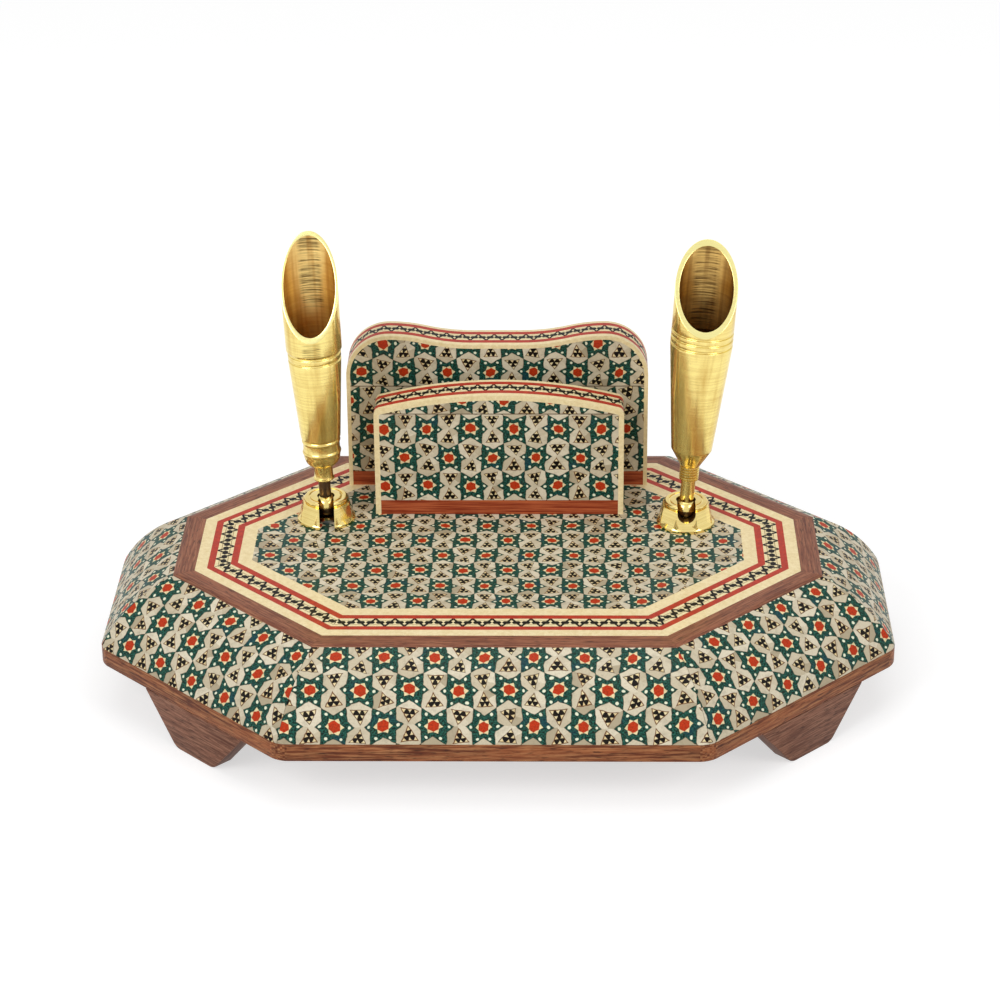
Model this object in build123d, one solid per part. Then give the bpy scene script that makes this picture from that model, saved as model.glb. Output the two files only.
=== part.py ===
from build123d import *
import math
import os

os.makedirs("parts", exist_ok=True)

# Pen holder with a card rack. Millimetres, +Z up, the front faces -Y.
# The origin is on the floor, under the middle of the eight-sided base.

# Eight-sided top: a rectangle with its corners cut off at 45 degrees
top_half_width = 110.4
top_half_depth = 73.25
top_corner_cut = 50.7

# Curved sides: how far they spread, how high they stand and how much they bulge
side_spread = 26.5
side_height = 22.9
side_bulge = 3.3
stave_foot_width = 17.0
stave_ledge = 8.0

# Flat timber
board_thickness = 6.5
board_corner_radius = 8.0
corner_relief = 0.05
panel_thickness = 6.0

# Feet
foot_height = 17.1
foot_top_length = 51.0
foot_bottom_length = 20.0
foot_thickness = 7.0
foot_corner_radius = 4.5
front_left_foot_shift = 2.8
front_right_foot_shift = 4.2
foot_screw_spacing = 26.0

# Inlay sheets and the strips round the top, from the outside in
sheet_thickness = 1.2
walnut_width = 5.8
outer_cream_width = 4.1
outer_red_width = 2.4
rope_width = 5.5
inner_red_width = 2.45
inner_cream_width = 4.75

# Card rack
rack_rear_margin = 10.45
plate_thickness = 14.0
card_gap = 10.4
front_edging_thickness = 1.9
rear_edging_thickness = 1.4
edging_red_front = 2.4
edging_rope = 5.2
edging_red_back = 2.4
edging_cream_back = 1.7
rail_height = 5.5

front_plate_half_width = 44.2
front_plate_crown = 46.3
front_plate_arch_radius = 165.8
front_plate_corner_radius = 2.4

rear_plate_half_width = 54.2
rear_plate_shift = -1.0
rear_plate_hump = 58.7
rear_plate_dip = 55.2
rear_plate_corner_radius = 15.5
rear_plate_hump_radius = 55.0
rear_plate_dip_half_length = 9.0

# Countersunk wood screws for the rack and the feet
screw_radius = 1.75
screw_head_radius = 3.4
screw_head_height = 1.9
rack_screw_reach = 17.0
rack_screw_half_spacing = 29.0
foot_screw_reach = 10.0
screw_clearance = 0.05

# Sockets
left_socket_beside_rack = 17.5
left_socket_before_rack = 3.4
right_socket_beside_rack = 22.0
right_socket_before_rack = 6.4
socket_facets = 8
socket_height = 9.0
socket_base_apothem = 9.65
socket_top_apothem = 7.6
socket_disc_radius = 7.4
socket_disc_chamfer = 1.0
socket_undercut = 1.6
socket_undercut_height = 1.9
disc_groove_radius = 5.6
disc_groove_width = 0.5
disc_groove_depth = 0.35
left_slot_floor = -3.2
right_slot_floor = 3.7
left_slot_clearance = 0.55
right_slot_clearance = 0.7
left_socket_turn = 5.0

# Ball joints
ball_radius = 4.2
ball_clearance = 0.1
left_neck_radius = 2.1
right_neck_radius = 2.5
mouth_clearance = 1.0
shank_radius = 1.9
shank_clearance = 0.05
left_lean = 2.2
right_lean = 3.9
plug_height = 1.0
ball_lift = 0.2
seat_ring_height = 0.9
seat_ring_bore = 2.8

# Bolts below the sockets
bolt_radius = 2.0
bolt_end = 1.6
nut_height = 3.2
nut_across_flats = 7.0
washer_radius = 4.5
washer_thickness = 0.8

# Left funnel, heights measured along its axis from the ball's centre
left_collar_start = 10.4
left_collar_end = 15.9
left_collar_radius = 3.3
left_collar_rim_radius = 3.75
left_collar_rim_height = 0.9
left_cup_radius = 6.5
left_bead_radius = 6.85
left_bead_height = 1.6
left_bead_low = 20.6
left_bead_high = 24.9
left_body_start = 27.1
left_body_radius = 7.0
left_groove_low = 56.8
left_groove_high = 59.2
left_groove_depth = 0.4
left_groove_height = 0.8
left_body_top_radius = 9.3
left_mouth_radius = 10.15
left_mouth_start = 60.8
left_lip_height = 65.7
left_mouth_angle = 59.8
left_wall = 1.0

# Right funnel
right_collar_start = 12.0
right_collar_end = 17.3
right_collar_radius = 3.45
right_thread_pitch = 1.0
right_thread_depth = 0.35
right_thread_turns = 4
right_cup_end = 23.7
right_cup_radius = 7.2
right_body_top = 63.2
right_body_top_radius = 10.85
right_groove_heights = (63.9, 66.3, 68.5)
right_groove_depth = 0.5
right_groove_height = 0.8
right_lip_height = 69.7
right_mouth_angle = 52.6
right_wall = 1.5

# Both funnels
funnel_floor_depth = 5.0
shank_depth = 4.5
shank_end_gap = 0.5

# Levels
board_bottom = foot_height
board_top = board_bottom + board_thickness
top_level = board_top + side_height
panel_top = top_level - sheet_thickness
panel_bottom = panel_top - panel_thickness

# Each side's name and its distance from the middle, counted round from the right
top_half_diagonal = (top_half_width + top_half_depth - top_corner_cut) / math.sqrt(2)
SIDES = (
    ("right", top_half_width),
    ("rear_right", top_half_diagonal),
    ("rear", top_half_depth),
    ("rear_left", top_half_diagonal),
    ("left", top_half_width),
    ("front_left", top_half_diagonal),
    ("front", top_half_depth),
    ("front_right", top_half_diagonal),
)
side_turn = 360 / len(SIDES)


def save(name, shape):
    """Writes one piece under its node's name."""
    shape.label = name
    export_step(shape, f"parts/{name}.step")


def corner(index, spread):
    """The corner between two neighbouring sides, with every side moved out by spread."""
    near = SIDES[index % len(SIDES)][1] + spread
    far = SIDES[(index + 1) % len(SIDES)][1] + spread
    a = math.radians(index * side_turn)
    b = math.radians((index + 1) * side_turn)
    turn = math.sin(b - a)
    x = (near * math.sin(b) - far * math.sin(a)) / turn
    y = (far * math.cos(a) - near * math.cos(b)) / turn
    return (x, y)


def octagon(spread):
    """The top's outline with every side moved out by spread."""
    return Polygon(*[corner(i, spread) for i in range(len(SIDES))], align=None)


def slab(outline, bottom, top):
    """A flat outline as a solid between two levels."""
    return Pos(0, 0, bottom) * extrude(outline, top - bottom)


def post(at, radius, bottom, top):
    """An upright round post, used for shanks and for the holes that they pass through."""
    height = top - bottom
    return Pos(at[0], at[1], bottom) * Cylinder(
        radius, height, align=(Align.CENTER, Align.CENTER, Align.MIN)
    )


def drilled(shape, places, radius, bottom, top):
    """The shape with upright round holes."""
    for at in places:
        shape = shape - post(at, radius, bottom, top)
    return shape


def arc(centre, radius, start, end):
    """An arc between two angles in degrees."""
    return CenterArc(centre, radius, start, end - start)


def turned(points):
    """A solid of revolution about Z from points given as (radius, height)."""
    outline = make_face(Polyline(*points, close=True))
    return revolve(Plane.XZ * outline, Axis.Z)


# Curved sides
# Each side's section is an arc from the top edge to the board. The sheet follows it inside.
side_chord = math.hypot(side_spread, side_height)
side_radius = (side_chord**2 / 4 + side_bulge**2) / (2 * side_bulge)
side_middle = side_radius - side_bulge
side_slope = math.atan2(side_height, side_spread)
arc_centre_out = side_spread / 2 - side_middle * math.sin(side_slope)
arc_centre_up = top_level - side_height / 2 - side_middle * math.cos(side_slope)


def arc_height(radius, out):
    """Height of an arc about the sides' common centre, at a distance out from the top edge."""
    return arc_centre_up + math.sqrt(radius**2 - (out - arc_centre_out) ** 2)


def arc_reach(radius, level):
    """How far out such an arc is at a level."""
    return arc_centre_out + math.sqrt(radius**2 - (level - arc_centre_up) ** 2)


def arc_through(radius, start, end):
    """The arc from one point to another, both given as (out, level)."""
    middle = (
        math.atan2(start[1] - arc_centre_up, start[0] - arc_centre_out)
        + math.atan2(end[1] - arc_centre_up, end[0] - arc_centre_out)
    ) / 2
    between = (
        arc_centre_out + radius * math.cos(middle),
        arc_centre_up + radius * math.sin(middle),
    )
    return ThreePointArc(start, between, end)


sheet_radius = side_radius - sheet_thickness
outer_top = (0, top_level)
outer_foot = (side_spread, board_top)
inner_top = (0, arc_height(sheet_radius, 0))
inner_foot = (arc_reach(sheet_radius, board_top), board_top)

sheet_section = make_face(
    [
        arc_through(side_radius, outer_top, outer_foot),
        Line(outer_foot, inner_foot),
        arc_through(sheet_radius, inner_foot, inner_top),
        Line(inner_top, outer_top),
    ]
)
stave_section = make_face(
    [
        arc_through(sheet_radius, inner_top, inner_foot),
        Polyline(
            inner_foot,
            (inner_foot[0] - stave_foot_width, board_top),
            (-stave_ledge, panel_bottom),
            (0, panel_bottom),
            inner_top,
        ),
    ]
)


corner_trim = octagon(side_spread + corner_relief)
corner_trim = fillet(corner_trim.vertices(), board_corner_radius)


def side_piece(index, section):
    """A side's section run along it, mitred at its two corners and rounded like the board."""
    distance = SIDES[index][1]
    reach = 2 * top_half_width
    bar = extrude(Plane.XZ * Pos(distance, 0) * section, reach, both=True)
    inside = -stave_ledge - stave_foot_width
    outline = Polygon(
        corner(index - 1, inside),
        corner(index - 1, side_spread + stave_ledge),
        corner(index, side_spread + stave_ledge),
        corner(index, inside),
        align=None,
    )
    mitred = (Rot(0, 0, index * side_turn) * bar) & slab(outline, board_top, top_level)
    return mitred & slab(corner_trim, board_top, top_level)


for index, (side_name, _) in enumerate(SIDES):
    save(f"stave_{side_name}", side_piece(index, stave_section))
    save(f"khatam_{side_name}", side_piece(index, sheet_section))

# Feet
# A foot is a tapered board under each diagonal side, flush with the board's edge. The two front
# feet were fixed a little to one side of their middles.
foot_run = (foot_top_length - foot_bottom_length) / 2
foot_outline = Polygon(
    (-foot_top_length / 2, 0),
    (-foot_top_length / 2 + foot_run, -foot_height),
    (foot_top_length / 2 - foot_run, -foot_height),
    (foot_top_length / 2, 0),
    align=None,
)
foot_outline = fillet(foot_outline.vertices().group_by(Axis.Y)[0], foot_corner_radius)
board_diagonal = top_half_diagonal + side_spread
foot_shifts = {"front_left": front_left_foot_shift, "front_right": front_right_foot_shift}
foot_screw_places = []

for index in range(1, len(SIDES), 2):
    ends = (corner(index - 1, side_spread), corner(index, side_spread))
    angle = index * side_turn
    turn = math.radians(angle)
    along = (-math.sin(turn), math.cos(turn))
    offset = sum((ends[0][i] + ends[1][i]) / 2 * along[i] for i in (0, 1))
    offset += foot_shifts.get(SIDES[index][0], 0)
    foot = extrude(Plane.YZ * foot_outline, foot_thickness)
    foot = Rot(0, 0, angle) * Pos(board_diagonal - foot_thickness, offset, board_bottom) * foot
    places = []
    for step in (-0.5, 0.5):
        out = board_diagonal - foot_thickness / 2
        shift = offset + step * foot_screw_spacing
        x = out * math.cos(turn) - shift * math.sin(turn)
        y = out * math.sin(turn) + shift * math.cos(turn)
        places.append((x, y))
    hole_bottom = board_bottom - foot_screw_reach - screw_clearance
    foot = drilled(foot, places, screw_radius + screw_clearance, hole_bottom, board_bottom)
    save(f"foot_{SIDES[index][0]}", foot)
    foot_screw_places += places


def screw(at, head_level, reach, way):
    """A countersunk screw whose head is flush at head_level; way is +1 for a point that looks up."""
    body = turned(
        [
            (0, 0),
            (screw_head_radius, 0),
            (screw_radius, screw_head_height),
            (screw_radius, reach - screw_radius),
            (0, reach),
        ]
    )
    if way < 0:
        body = Rot(180, 0, 0) * body
    return Pos(at[0], at[1], head_level) * body


def countersink(at, head_level, way):
    """The seat that a screw's head lies in."""
    cone = turned(
        [
            (0, 0),
            (screw_head_radius + screw_clearance, 0),
            (screw_radius + screw_clearance, screw_head_height),
            (0, screw_head_height),
        ]
    )
    if way < 0:
        cone = Rot(180, 0, 0) * cone
    return Pos(at[0], at[1], head_level) * cone


# Base board
board_outline = octagon(side_spread)
board_outline = fillet(board_outline.vertices(), board_corner_radius)
base_board = slab(board_outline, board_bottom, board_top)
for at in foot_screw_places:
    base_board = base_board - post(at, screw_radius + screw_clearance, board_bottom, board_top)
    base_board = base_board - countersink(at, board_top, -1)
save("base_board", base_board)
foot_screw_length = board_thickness + foot_screw_reach
save(
    "foot_screws",
    Compound([screw(at, board_top, foot_screw_length, -1) for at in foot_screw_places]),
)

# Places of the rack, the sockets and their fixings on the top
plate_pitch = plate_thickness + card_gap
rear_plate_y = top_half_depth - rack_rear_margin - plate_thickness
rack_front_y = rear_plate_y - plate_pitch
left_socket_at = (
    -front_plate_half_width - left_socket_beside_rack,
    rack_front_y - left_socket_before_rack,
)
right_socket_at = (
    front_plate_half_width + right_socket_beside_rack,
    rack_front_y - right_socket_before_rack,
)
rack_screw_places = [
    (shift + x, y + plate_thickness / 2)
    for shift, y in ((0, rack_front_y), (rear_plate_shift, rear_plate_y))
    for x in (-rack_screw_half_spacing, rack_screw_half_spacing)
]
socket_places = (left_socket_at, right_socket_at)


def pierced(shape):
    """A layer of the top with the holes for the rack's screws and the sockets' bolts."""
    shape = drilled(
        shape, rack_screw_places, screw_radius + screw_clearance, panel_bottom, top_level
    )
    return drilled(
        shape, socket_places, bolt_radius + screw_clearance, panel_bottom, top_level
    )


# Top panel
top_panel = pierced(slab(octagon(0), panel_bottom, panel_top))
for at in rack_screw_places:
    top_panel = top_panel - countersink(at, panel_bottom, 1)
save("top_panel", top_panel)

# Strips round the top
strip_edge = 0
for strip_name, width in (
    ("walnut_frame", walnut_width),
    ("outer_cream_line", outer_cream_width),
    ("outer_red_line", outer_red_width),
    ("rope_band", rope_width),
    ("inner_red_line", inner_red_width),
    ("inner_cream_line", inner_cream_width),
):
    ring = octagon(-strip_edge) - octagon(-strip_edge - width)
    save(strip_name, pierced(slab(ring, panel_top, top_level)))
    strip_edge += width
save("khatam_field", pierced(slab(octagon(-strip_edge), panel_top, top_level)))


# Card rack
def front_plate_outline(inset):
    """An arched plate with small corners, with its sides and top moved in by inset."""
    half = front_plate_half_width - front_plate_corner_radius
    arch_centre = front_plate_crown - front_plate_arch_radius
    rise = math.sqrt((front_plate_arch_radius - front_plate_corner_radius) ** 2 - half**2)
    shoulder = arch_centre + rise
    angle = math.degrees(math.atan2(rise, half))
    side = front_plate_half_width - inset
    bend = front_plate_corner_radius - inset
    return make_face(
        [
            Line((side, 0), (side, shoulder)),
            arc((half, shoulder), bend, 0, angle),
            arc((0, arch_centre), front_plate_arch_radius - inset, angle, 180 - angle),
            arc((-half, shoulder), bend, 180 - angle, 180),
            Polyline((-side, shoulder), (-side, 0), (side, 0)),
        ]
    )


def rear_plate_outline(inset):
    """A plate with two humps and a shallow dip, with its sides and top moved in by inset."""
    hump_x = rear_plate_half_width - rear_plate_corner_radius
    run = hump_x - rear_plate_dip_half_length
    drop = rear_plate_hump - rear_plate_dip
    both_radii = (run**2 + drop**2) / (2 * drop)
    dip_radius = both_radii - rear_plate_hump_radius
    angle = math.degrees(math.asin(run / both_radii))
    side = rear_plate_half_width - inset
    shoulder = rear_plate_hump - rear_plate_corner_radius
    bend = rear_plate_corner_radius - inset
    convex = rear_plate_hump_radius - inset
    concave = dip_radius + inset
    convex_level = rear_plate_hump - rear_plate_hump_radius
    dip_level = rear_plate_dip - inset
    dip_x = rear_plate_dip_half_length
    concave_level = rear_plate_dip + dip_radius
    return make_face(
        [
            Line((side, 0), (side, shoulder)),
            arc((hump_x, shoulder), bend, 0, 90),
            arc((hump_x, convex_level), convex, 90, 90 + angle),
            arc((dip_x, concave_level), concave, 270 + angle, 270),
            Line((dip_x, dip_level), (-dip_x, dip_level)),
            arc((-dip_x, concave_level), concave, 270, 270 - angle),
            arc((-hump_x, convex_level), convex, 90 - angle, 90),
            arc((-hump_x, shoulder), bend, 90, 180),
            Polyline((-side, shoulder), (-side, 0), (side, 0)),
        ]
    )


def upright(outline, across, front, thickness):
    """A plate's outline stood up on the top, from its front face backwards."""
    return Pos(across, front + thickness, top_level) * extrude(Plane.XZ * outline, thickness)


edging_cream_front = (
    plate_thickness - edging_red_front - edging_rope - edging_red_back - edging_cream_back
)
stripes_from_front = (
    ("cream_lines", edging_cream_front),
    ("red_lines", edging_red_front),
    ("rope", edging_rope),
    ("red_lines", edging_red_back),
    ("cream_lines", edging_cream_back),
)

for plate_name, outline_of, half_width, across, front, edging_thickness in (
    (
        "front_plate",
        front_plate_outline,
        front_plate_half_width,
        0,
        rack_front_y,
        front_edging_thickness,
    ),
    (
        "rear_plate",
        rear_plate_outline,
        rear_plate_half_width,
        rear_plate_shift,
        rear_plate_y,
        rear_edging_thickness,
    ),
):
    inner = outline_of(edging_thickness)
    rail_half = half_width - edging_thickness
    rail = Pos(0, rail_height / 2) * Rectangle(2 * rail_half, rail_height)
    core_front = front + sheet_thickness
    core_thickness = plate_thickness - 2 * sheet_thickness
    core = upright(inner, across, core_front, core_thickness)
    core = drilled(
        core,
        rack_screw_places,
        screw_radius + screw_clearance,
        top_level,
        top_level + rack_screw_reach + screw_clearance,
    )
    save(f"{plate_name}_core", core)
    back = front + plate_thickness - sheet_thickness
    face = inner - rail
    save(f"{plate_name}_khatam_front", upright(face, across, front, sheet_thickness))
    save(f"{plate_name}_khatam_back", upright(face, across, back, sheet_thickness))
    rails = [upright(rail, across, y, sheet_thickness) for y in (front, back)]
    save(f"{plate_name}_rails", Compound(rails))
    edging = outline_of(0) - inner
    stripes = {}
    stripe_y = front
    for stripe_name, width in stripes_from_front:
        stripes.setdefault(stripe_name, []).append(upright(edging, across, stripe_y, width))
        stripe_y += width
    for stripe_name, shapes in stripes.items():
        save(f"{plate_name}_{stripe_name}", Compound(shapes))

rack_screw_length = panel_thickness + sheet_thickness + rack_screw_reach
save(
    "rack_screws",
    Compound([screw(at, panel_bottom, rack_screw_length, 1) for at in rack_screw_places]),
)

# Sockets
# Each is a faceted brass block turned round at its top and foot, bored from below for the ball.
ball_level = plug_height + ball_lift + ball_radius
cup_radius = ball_radius + ball_clearance
socket_corner = 1 / math.cos(math.pi / socket_facets)


def socket(neck_radius, slot_clearance, slot_floor):
    """A socket with its foot at the origin and its slot towards the front."""
    mouth_radius = neck_radius + mouth_clearance
    slot_width = 2 * (neck_radius + slot_clearance)
    base = RegularPolygon(socket_base_apothem * socket_corner, socket_facets)
    top = RegularPolygon(socket_top_apothem * socket_corner, socket_facets)
    turn = Rot(0, 0, 180 / socket_facets)
    block = loft([turn * base, Pos(0, 0, socket_height) * turn * top])
    widest = socket_base_apothem * socket_corner
    skin = turned(
        [
            (0, 0),
            (widest - socket_undercut, 0),
            (widest, socket_undercut_height),
            (widest, socket_height - 2 * socket_disc_chamfer),
            (socket_disc_radius + 2 * socket_disc_chamfer, socket_height - socket_disc_chamfer),
            (socket_disc_radius, socket_height),
            (0, socket_height),
        ]
    )
    block = block & skin
    cup = Pos(0, 0, ball_level) * Sphere(cup_radius)
    block = block - cup
    block = block - post((0, 0), cup_radius, 0, ball_level)
    block = block - post((0, 0), mouth_radius, ball_level, socket_height)
    slot_middle = slot_floor + slot_width / 2
    slot_height = socket_height - slot_floor
    slot = Pos(0, 0, slot_middle) * Box(
        slot_width, 2 * widest, slot_height, align=(Align.CENTER, Align.MAX, Align.MIN)
    )
    slot_bottom = Pos(0, 0, slot_middle) * Rot(90, 0, 0) * Cylinder(
        slot_width / 2, 2 * widest, align=(Align.CENTER, Align.CENTER, Align.MIN)
    )
    block = block - slot - slot_bottom
    groove = post((0, 0), disc_groove_radius + disc_groove_width, 0, socket_height)
    groove = groove - post((0, 0), disc_groove_radius, 0, socket_height)
    above = post((0, 0), 2 * widest, socket_height - disc_groove_depth, socket_height)
    return block - (groove & above)


def at_socket(at):
    """Moves a piece from the origin to a socket's foot on the top."""
    return Pos(at[0], at[1], top_level)


left_socket = socket(left_neck_radius, left_slot_clearance, left_slot_floor)
right_socket = socket(right_neck_radius, right_slot_clearance, right_slot_floor)
save("left_socket", at_socket(left_socket_at) * Rot(0, 0, left_socket_turn) * left_socket)
save("right_socket", at_socket(right_socket_at) * right_socket)

# Rings, bolts, washers and nuts under the balls
plug_radius = cup_radius - screw_clearance
seat_ring = post((0, 0), plug_radius, plug_height, plug_height + seat_ring_height)
seat_ring = seat_ring - post((0, 0), seat_ring_bore, plug_height, plug_height + seat_ring_height)
washer_top = panel_bottom - top_level
nut_top = washer_top - washer_thickness
nut_bottom = nut_top - nut_height
bolt = post((0, 0), plug_radius, 0, plug_height)
bolt = bolt + post((0, 0), bolt_radius, nut_bottom - bolt_end, 0)
hole_radius = bolt_radius + screw_clearance
washer = post((0, 0), washer_radius, nut_top, washer_top)
washer = washer - post((0, 0), hole_radius, nut_top, washer_top)
nut_corner = nut_across_flats / 2 / math.cos(math.pi / 6)
nut = slab(RegularPolygon(nut_corner, 6), nut_bottom, nut_top)
nut = nut - post((0, 0), hole_radius, nut_bottom, nut_top)
for group_name, piece in (
    ("seat_rings", seat_ring),
    ("socket_bolts", bolt),
    ("socket_washers", washer),
    ("socket_nuts", nut),
):
    save(group_name, Compound([at_socket(at) * piece for at in socket_places]))


# Funnels
# Each is turned about its own axis from the ball's centre, then leaned outwards, square to its
# socket's slot.
def stud(neck_radius, collar_start, shank_end):
    """Ball, neck and the thinner shank that the collar and the funnel turn on."""
    body = Sphere(ball_radius)
    body = body + post((0, 0), neck_radius, 0, collar_start - shank_clearance)
    return body + post((0, 0), shank_radius, 0, shank_end)


def bored(shape, bottom, top):
    """A collar or a funnel's foot with the hole for the shank."""
    return shape - post((0, 0), shank_radius + shank_clearance, bottom, top)


def cut_mouth(shape, lip_radius, lip_height, angle):
    """Takes off what is above a slanting plane that starts at the front of the lip."""
    size = 8 * lip_radius
    block = Box(2 * size, 2 * size, size, align=(Align.CENTER, Align.CENTER, Align.MIN))
    return shape - Pos(0, -lip_radius, lip_height) * Rot(angle, 0, 0) * block


def mouth_top(lip_height, radius, angle):
    """Height at which the slanting cut leaves the back of the mouth, with room to spare."""
    return lip_height + 2.2 * radius * math.tan(math.radians(angle))


left_cup_start = left_collar_end
left_floor = left_body_start + funnel_floor_depth
left_rise = mouth_top(left_lip_height, left_mouth_radius, left_mouth_angle)
left_collar = turned(
    [
        (0, left_collar_start),
        (left_collar_radius, left_collar_start),
        (left_collar_rim_radius, left_collar_start + left_collar_rim_height / 2),
        (left_collar_radius, left_collar_start + left_collar_rim_height),
        (left_collar_radius, left_collar_end - left_collar_rim_height),
        (left_collar_rim_radius, left_collar_end),
        (0, left_collar_end),
    ]
)
left_collar = bored(left_collar, left_collar_start, left_collar_end)

cup_rise = left_bead_low - left_cup_start
cup_turn = math.radians(45)
left_outline = make_face(
    [
        Line((0, left_cup_start), (left_collar_radius, left_cup_start)),
        ThreePointArc(
            (left_collar_radius, left_cup_start),
            (
                left_collar_radius + (left_cup_radius - left_collar_radius) * math.sin(cup_turn),
                left_cup_start + cup_rise * (1 - math.cos(cup_turn)),
            ),
            (left_cup_radius, left_bead_low),
        ),
        ThreePointArc(
            (left_cup_radius, left_bead_low),
            (left_bead_radius, left_bead_low + left_bead_height / 2),
            (left_cup_radius, left_bead_low + left_bead_height),
        ),
        Line(
            (left_cup_radius, left_bead_low + left_bead_height),
            (left_cup_radius, left_bead_high),
        ),
        ThreePointArc(
            (left_cup_radius, left_bead_high),
            (left_bead_radius, left_bead_high + left_bead_height / 2),
            (left_cup_radius, left_bead_high + left_bead_height),
        ),
        Polyline(
            (left_cup_radius, left_bead_high + left_bead_height),
            (left_body_radius, left_body_start),
            (left_body_top_radius, left_groove_low),
            (left_body_top_radius, left_groove_high + left_groove_height),
            (left_mouth_radius - left_groove_depth, left_mouth_start),
            (left_mouth_radius, left_rise),
            (0, left_rise),
            (0, left_cup_start),
        ),
    ]
)


def grooved(shape, level, height, radius, depth):
    """The shape with a shallow turned groove of a given height."""
    band = post((0, 0), 2 * radius, level, level + height)
    band = band - post((0, 0), radius - depth, level, level + height)
    return shape - band


left_bore = turned(
    [
        (0, left_floor),
        (left_body_radius - left_wall, left_floor),
        (left_body_top_radius - left_wall, left_groove_low),
        (left_mouth_radius - left_wall, left_rise),
        (0, left_rise),
    ]
)
left_funnel = revolve(Plane.XZ * left_outline, Axis.Z) - left_bore
for level in (left_groove_low, left_groove_high):
    left_funnel = grooved(
        left_funnel, level, left_groove_height, left_body_top_radius, left_groove_depth
    )
left_funnel = cut_mouth(left_funnel, left_mouth_radius, left_lip_height, left_mouth_angle)
left_shank_end = left_floor - funnel_floor_depth + shank_depth - 2 * shank_end_gap
left_funnel = bored(left_funnel, left_cup_start, left_shank_end + shank_end_gap)

right_floor = right_cup_end + funnel_floor_depth
right_rise = mouth_top(right_lip_height, right_body_top_radius, right_mouth_angle)
right_collar = post((0, 0), right_collar_radius, right_collar_start, right_collar_end)
for turn in range(right_thread_turns):
    right_collar = grooved(
        right_collar,
        right_collar_end - (turn + 1) * right_thread_pitch,
        right_thread_pitch / 2,
        right_collar_radius,
        right_thread_depth,
    )
right_collar = bored(right_collar, right_collar_start, right_collar_end)

right_outline = [
    (0, right_collar_end),
    (right_collar_radius, right_collar_end),
    (right_cup_radius, right_cup_end),
    (right_body_top_radius, right_body_top),
    (right_body_top_radius, right_rise),
    (0, right_rise),
]
right_bore = turned(
    [
        (0, right_floor),
        (right_cup_radius - right_wall, right_floor),
        (right_body_top_radius - right_wall, right_body_top),
        (right_body_top_radius - right_wall, right_rise),
        (0, right_rise),
    ]
)
right_funnel = turned(right_outline) - right_bore
for level in right_groove_heights:
    right_funnel = grooved(
        right_funnel, level, right_groove_height, right_body_top_radius, right_groove_depth
    )
right_funnel = cut_mouth(
    right_funnel, right_body_top_radius, right_lip_height, right_mouth_angle
)
right_shank_end = right_floor - funnel_floor_depth + shank_depth - 2 * shank_end_gap
right_funnel = bored(right_funnel, right_collar_end, right_shank_end + shank_end_gap)

for hand, at, turn, lean, pieces in (
    (
        "left",
        left_socket_at,
        left_socket_turn,
        -left_lean,
        (
            ("ball_stud", stud(left_neck_radius, left_collar_start, left_shank_end)),
            ("collar", left_collar),
            ("funnel", left_funnel),
        ),
    ),
    (
        "right",
        right_socket_at,
        0,
        right_lean,
        (
            ("ball_stud", stud(right_neck_radius, right_collar_start, right_shank_end)),
            ("collar", right_collar),
            ("funnel", right_funnel),
        ),
    ),
):
    leaned = Rot(0, 0, turn) * Rot(0, lean, 0) * Rot(0, 0, -turn)
    place = at_socket(at) * Pos(0, 0, ball_level) * leaned
    for piece_name, piece in pieces:
        save(f"{hand}_{piece_name}", place * piece)
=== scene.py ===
import math
from functools import partial

import bpy
from mathutils import Matrix, Vector


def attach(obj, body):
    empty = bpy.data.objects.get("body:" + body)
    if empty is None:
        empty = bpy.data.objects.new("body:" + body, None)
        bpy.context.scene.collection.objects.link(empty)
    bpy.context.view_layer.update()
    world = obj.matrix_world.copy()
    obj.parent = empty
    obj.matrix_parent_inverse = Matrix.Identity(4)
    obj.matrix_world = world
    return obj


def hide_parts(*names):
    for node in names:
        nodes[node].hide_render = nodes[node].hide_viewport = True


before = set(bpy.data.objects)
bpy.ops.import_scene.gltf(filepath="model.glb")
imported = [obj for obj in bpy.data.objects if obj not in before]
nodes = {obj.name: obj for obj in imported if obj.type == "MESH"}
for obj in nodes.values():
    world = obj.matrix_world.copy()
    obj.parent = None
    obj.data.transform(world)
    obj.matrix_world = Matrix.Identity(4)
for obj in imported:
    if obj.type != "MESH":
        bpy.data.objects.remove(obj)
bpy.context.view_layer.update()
mm = 0.001

# The photographer's view: a long lens about a metre away, looking down on the holder from the
# front and turned a little to its left. Lengths are in metres here, as in all of Blender.
view_turn = math.radians(1.268)
view_down = math.radians(25.755)
view_roll = math.radians(-0.521)
view_place = (0.02245, -0.9813, 0.5374)
lens_mm = 112.64
film_mm = 36

view = (
    Matrix.Rotation(view_turn, 4, "Z")
    @ Matrix.Rotation(math.radians(90) - view_down, 4, "X")
    @ Matrix.Rotation(view_roll, 4, "Z")
)
bpy.ops.object.camera_add(location=view_place, rotation=view.to_euler())
camera = bpy.context.object
camera.data.lens = lens_mm
camera.data.sensor_width = film_mm
camera.data.clip_start = 0.01
bpy.context.scene.camera = camera


# The table top is a flat sheet of matt white card, wide enough to fill the view. It is paper, so it
# gives a soft even white with no gloss, and it keeps the holder's shadow.
def linear(code):
    """A colour written as sRGB hex, as the linear values that a shader takes."""
    levels = [int(code[i : i + 2], 16) / 255 for i in (1, 3, 5)]
    return [v / 12.92 if v <= 0.04045 else ((v + 0.055) / 1.055) ** 2.4 for v in levels] + [1]


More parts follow.
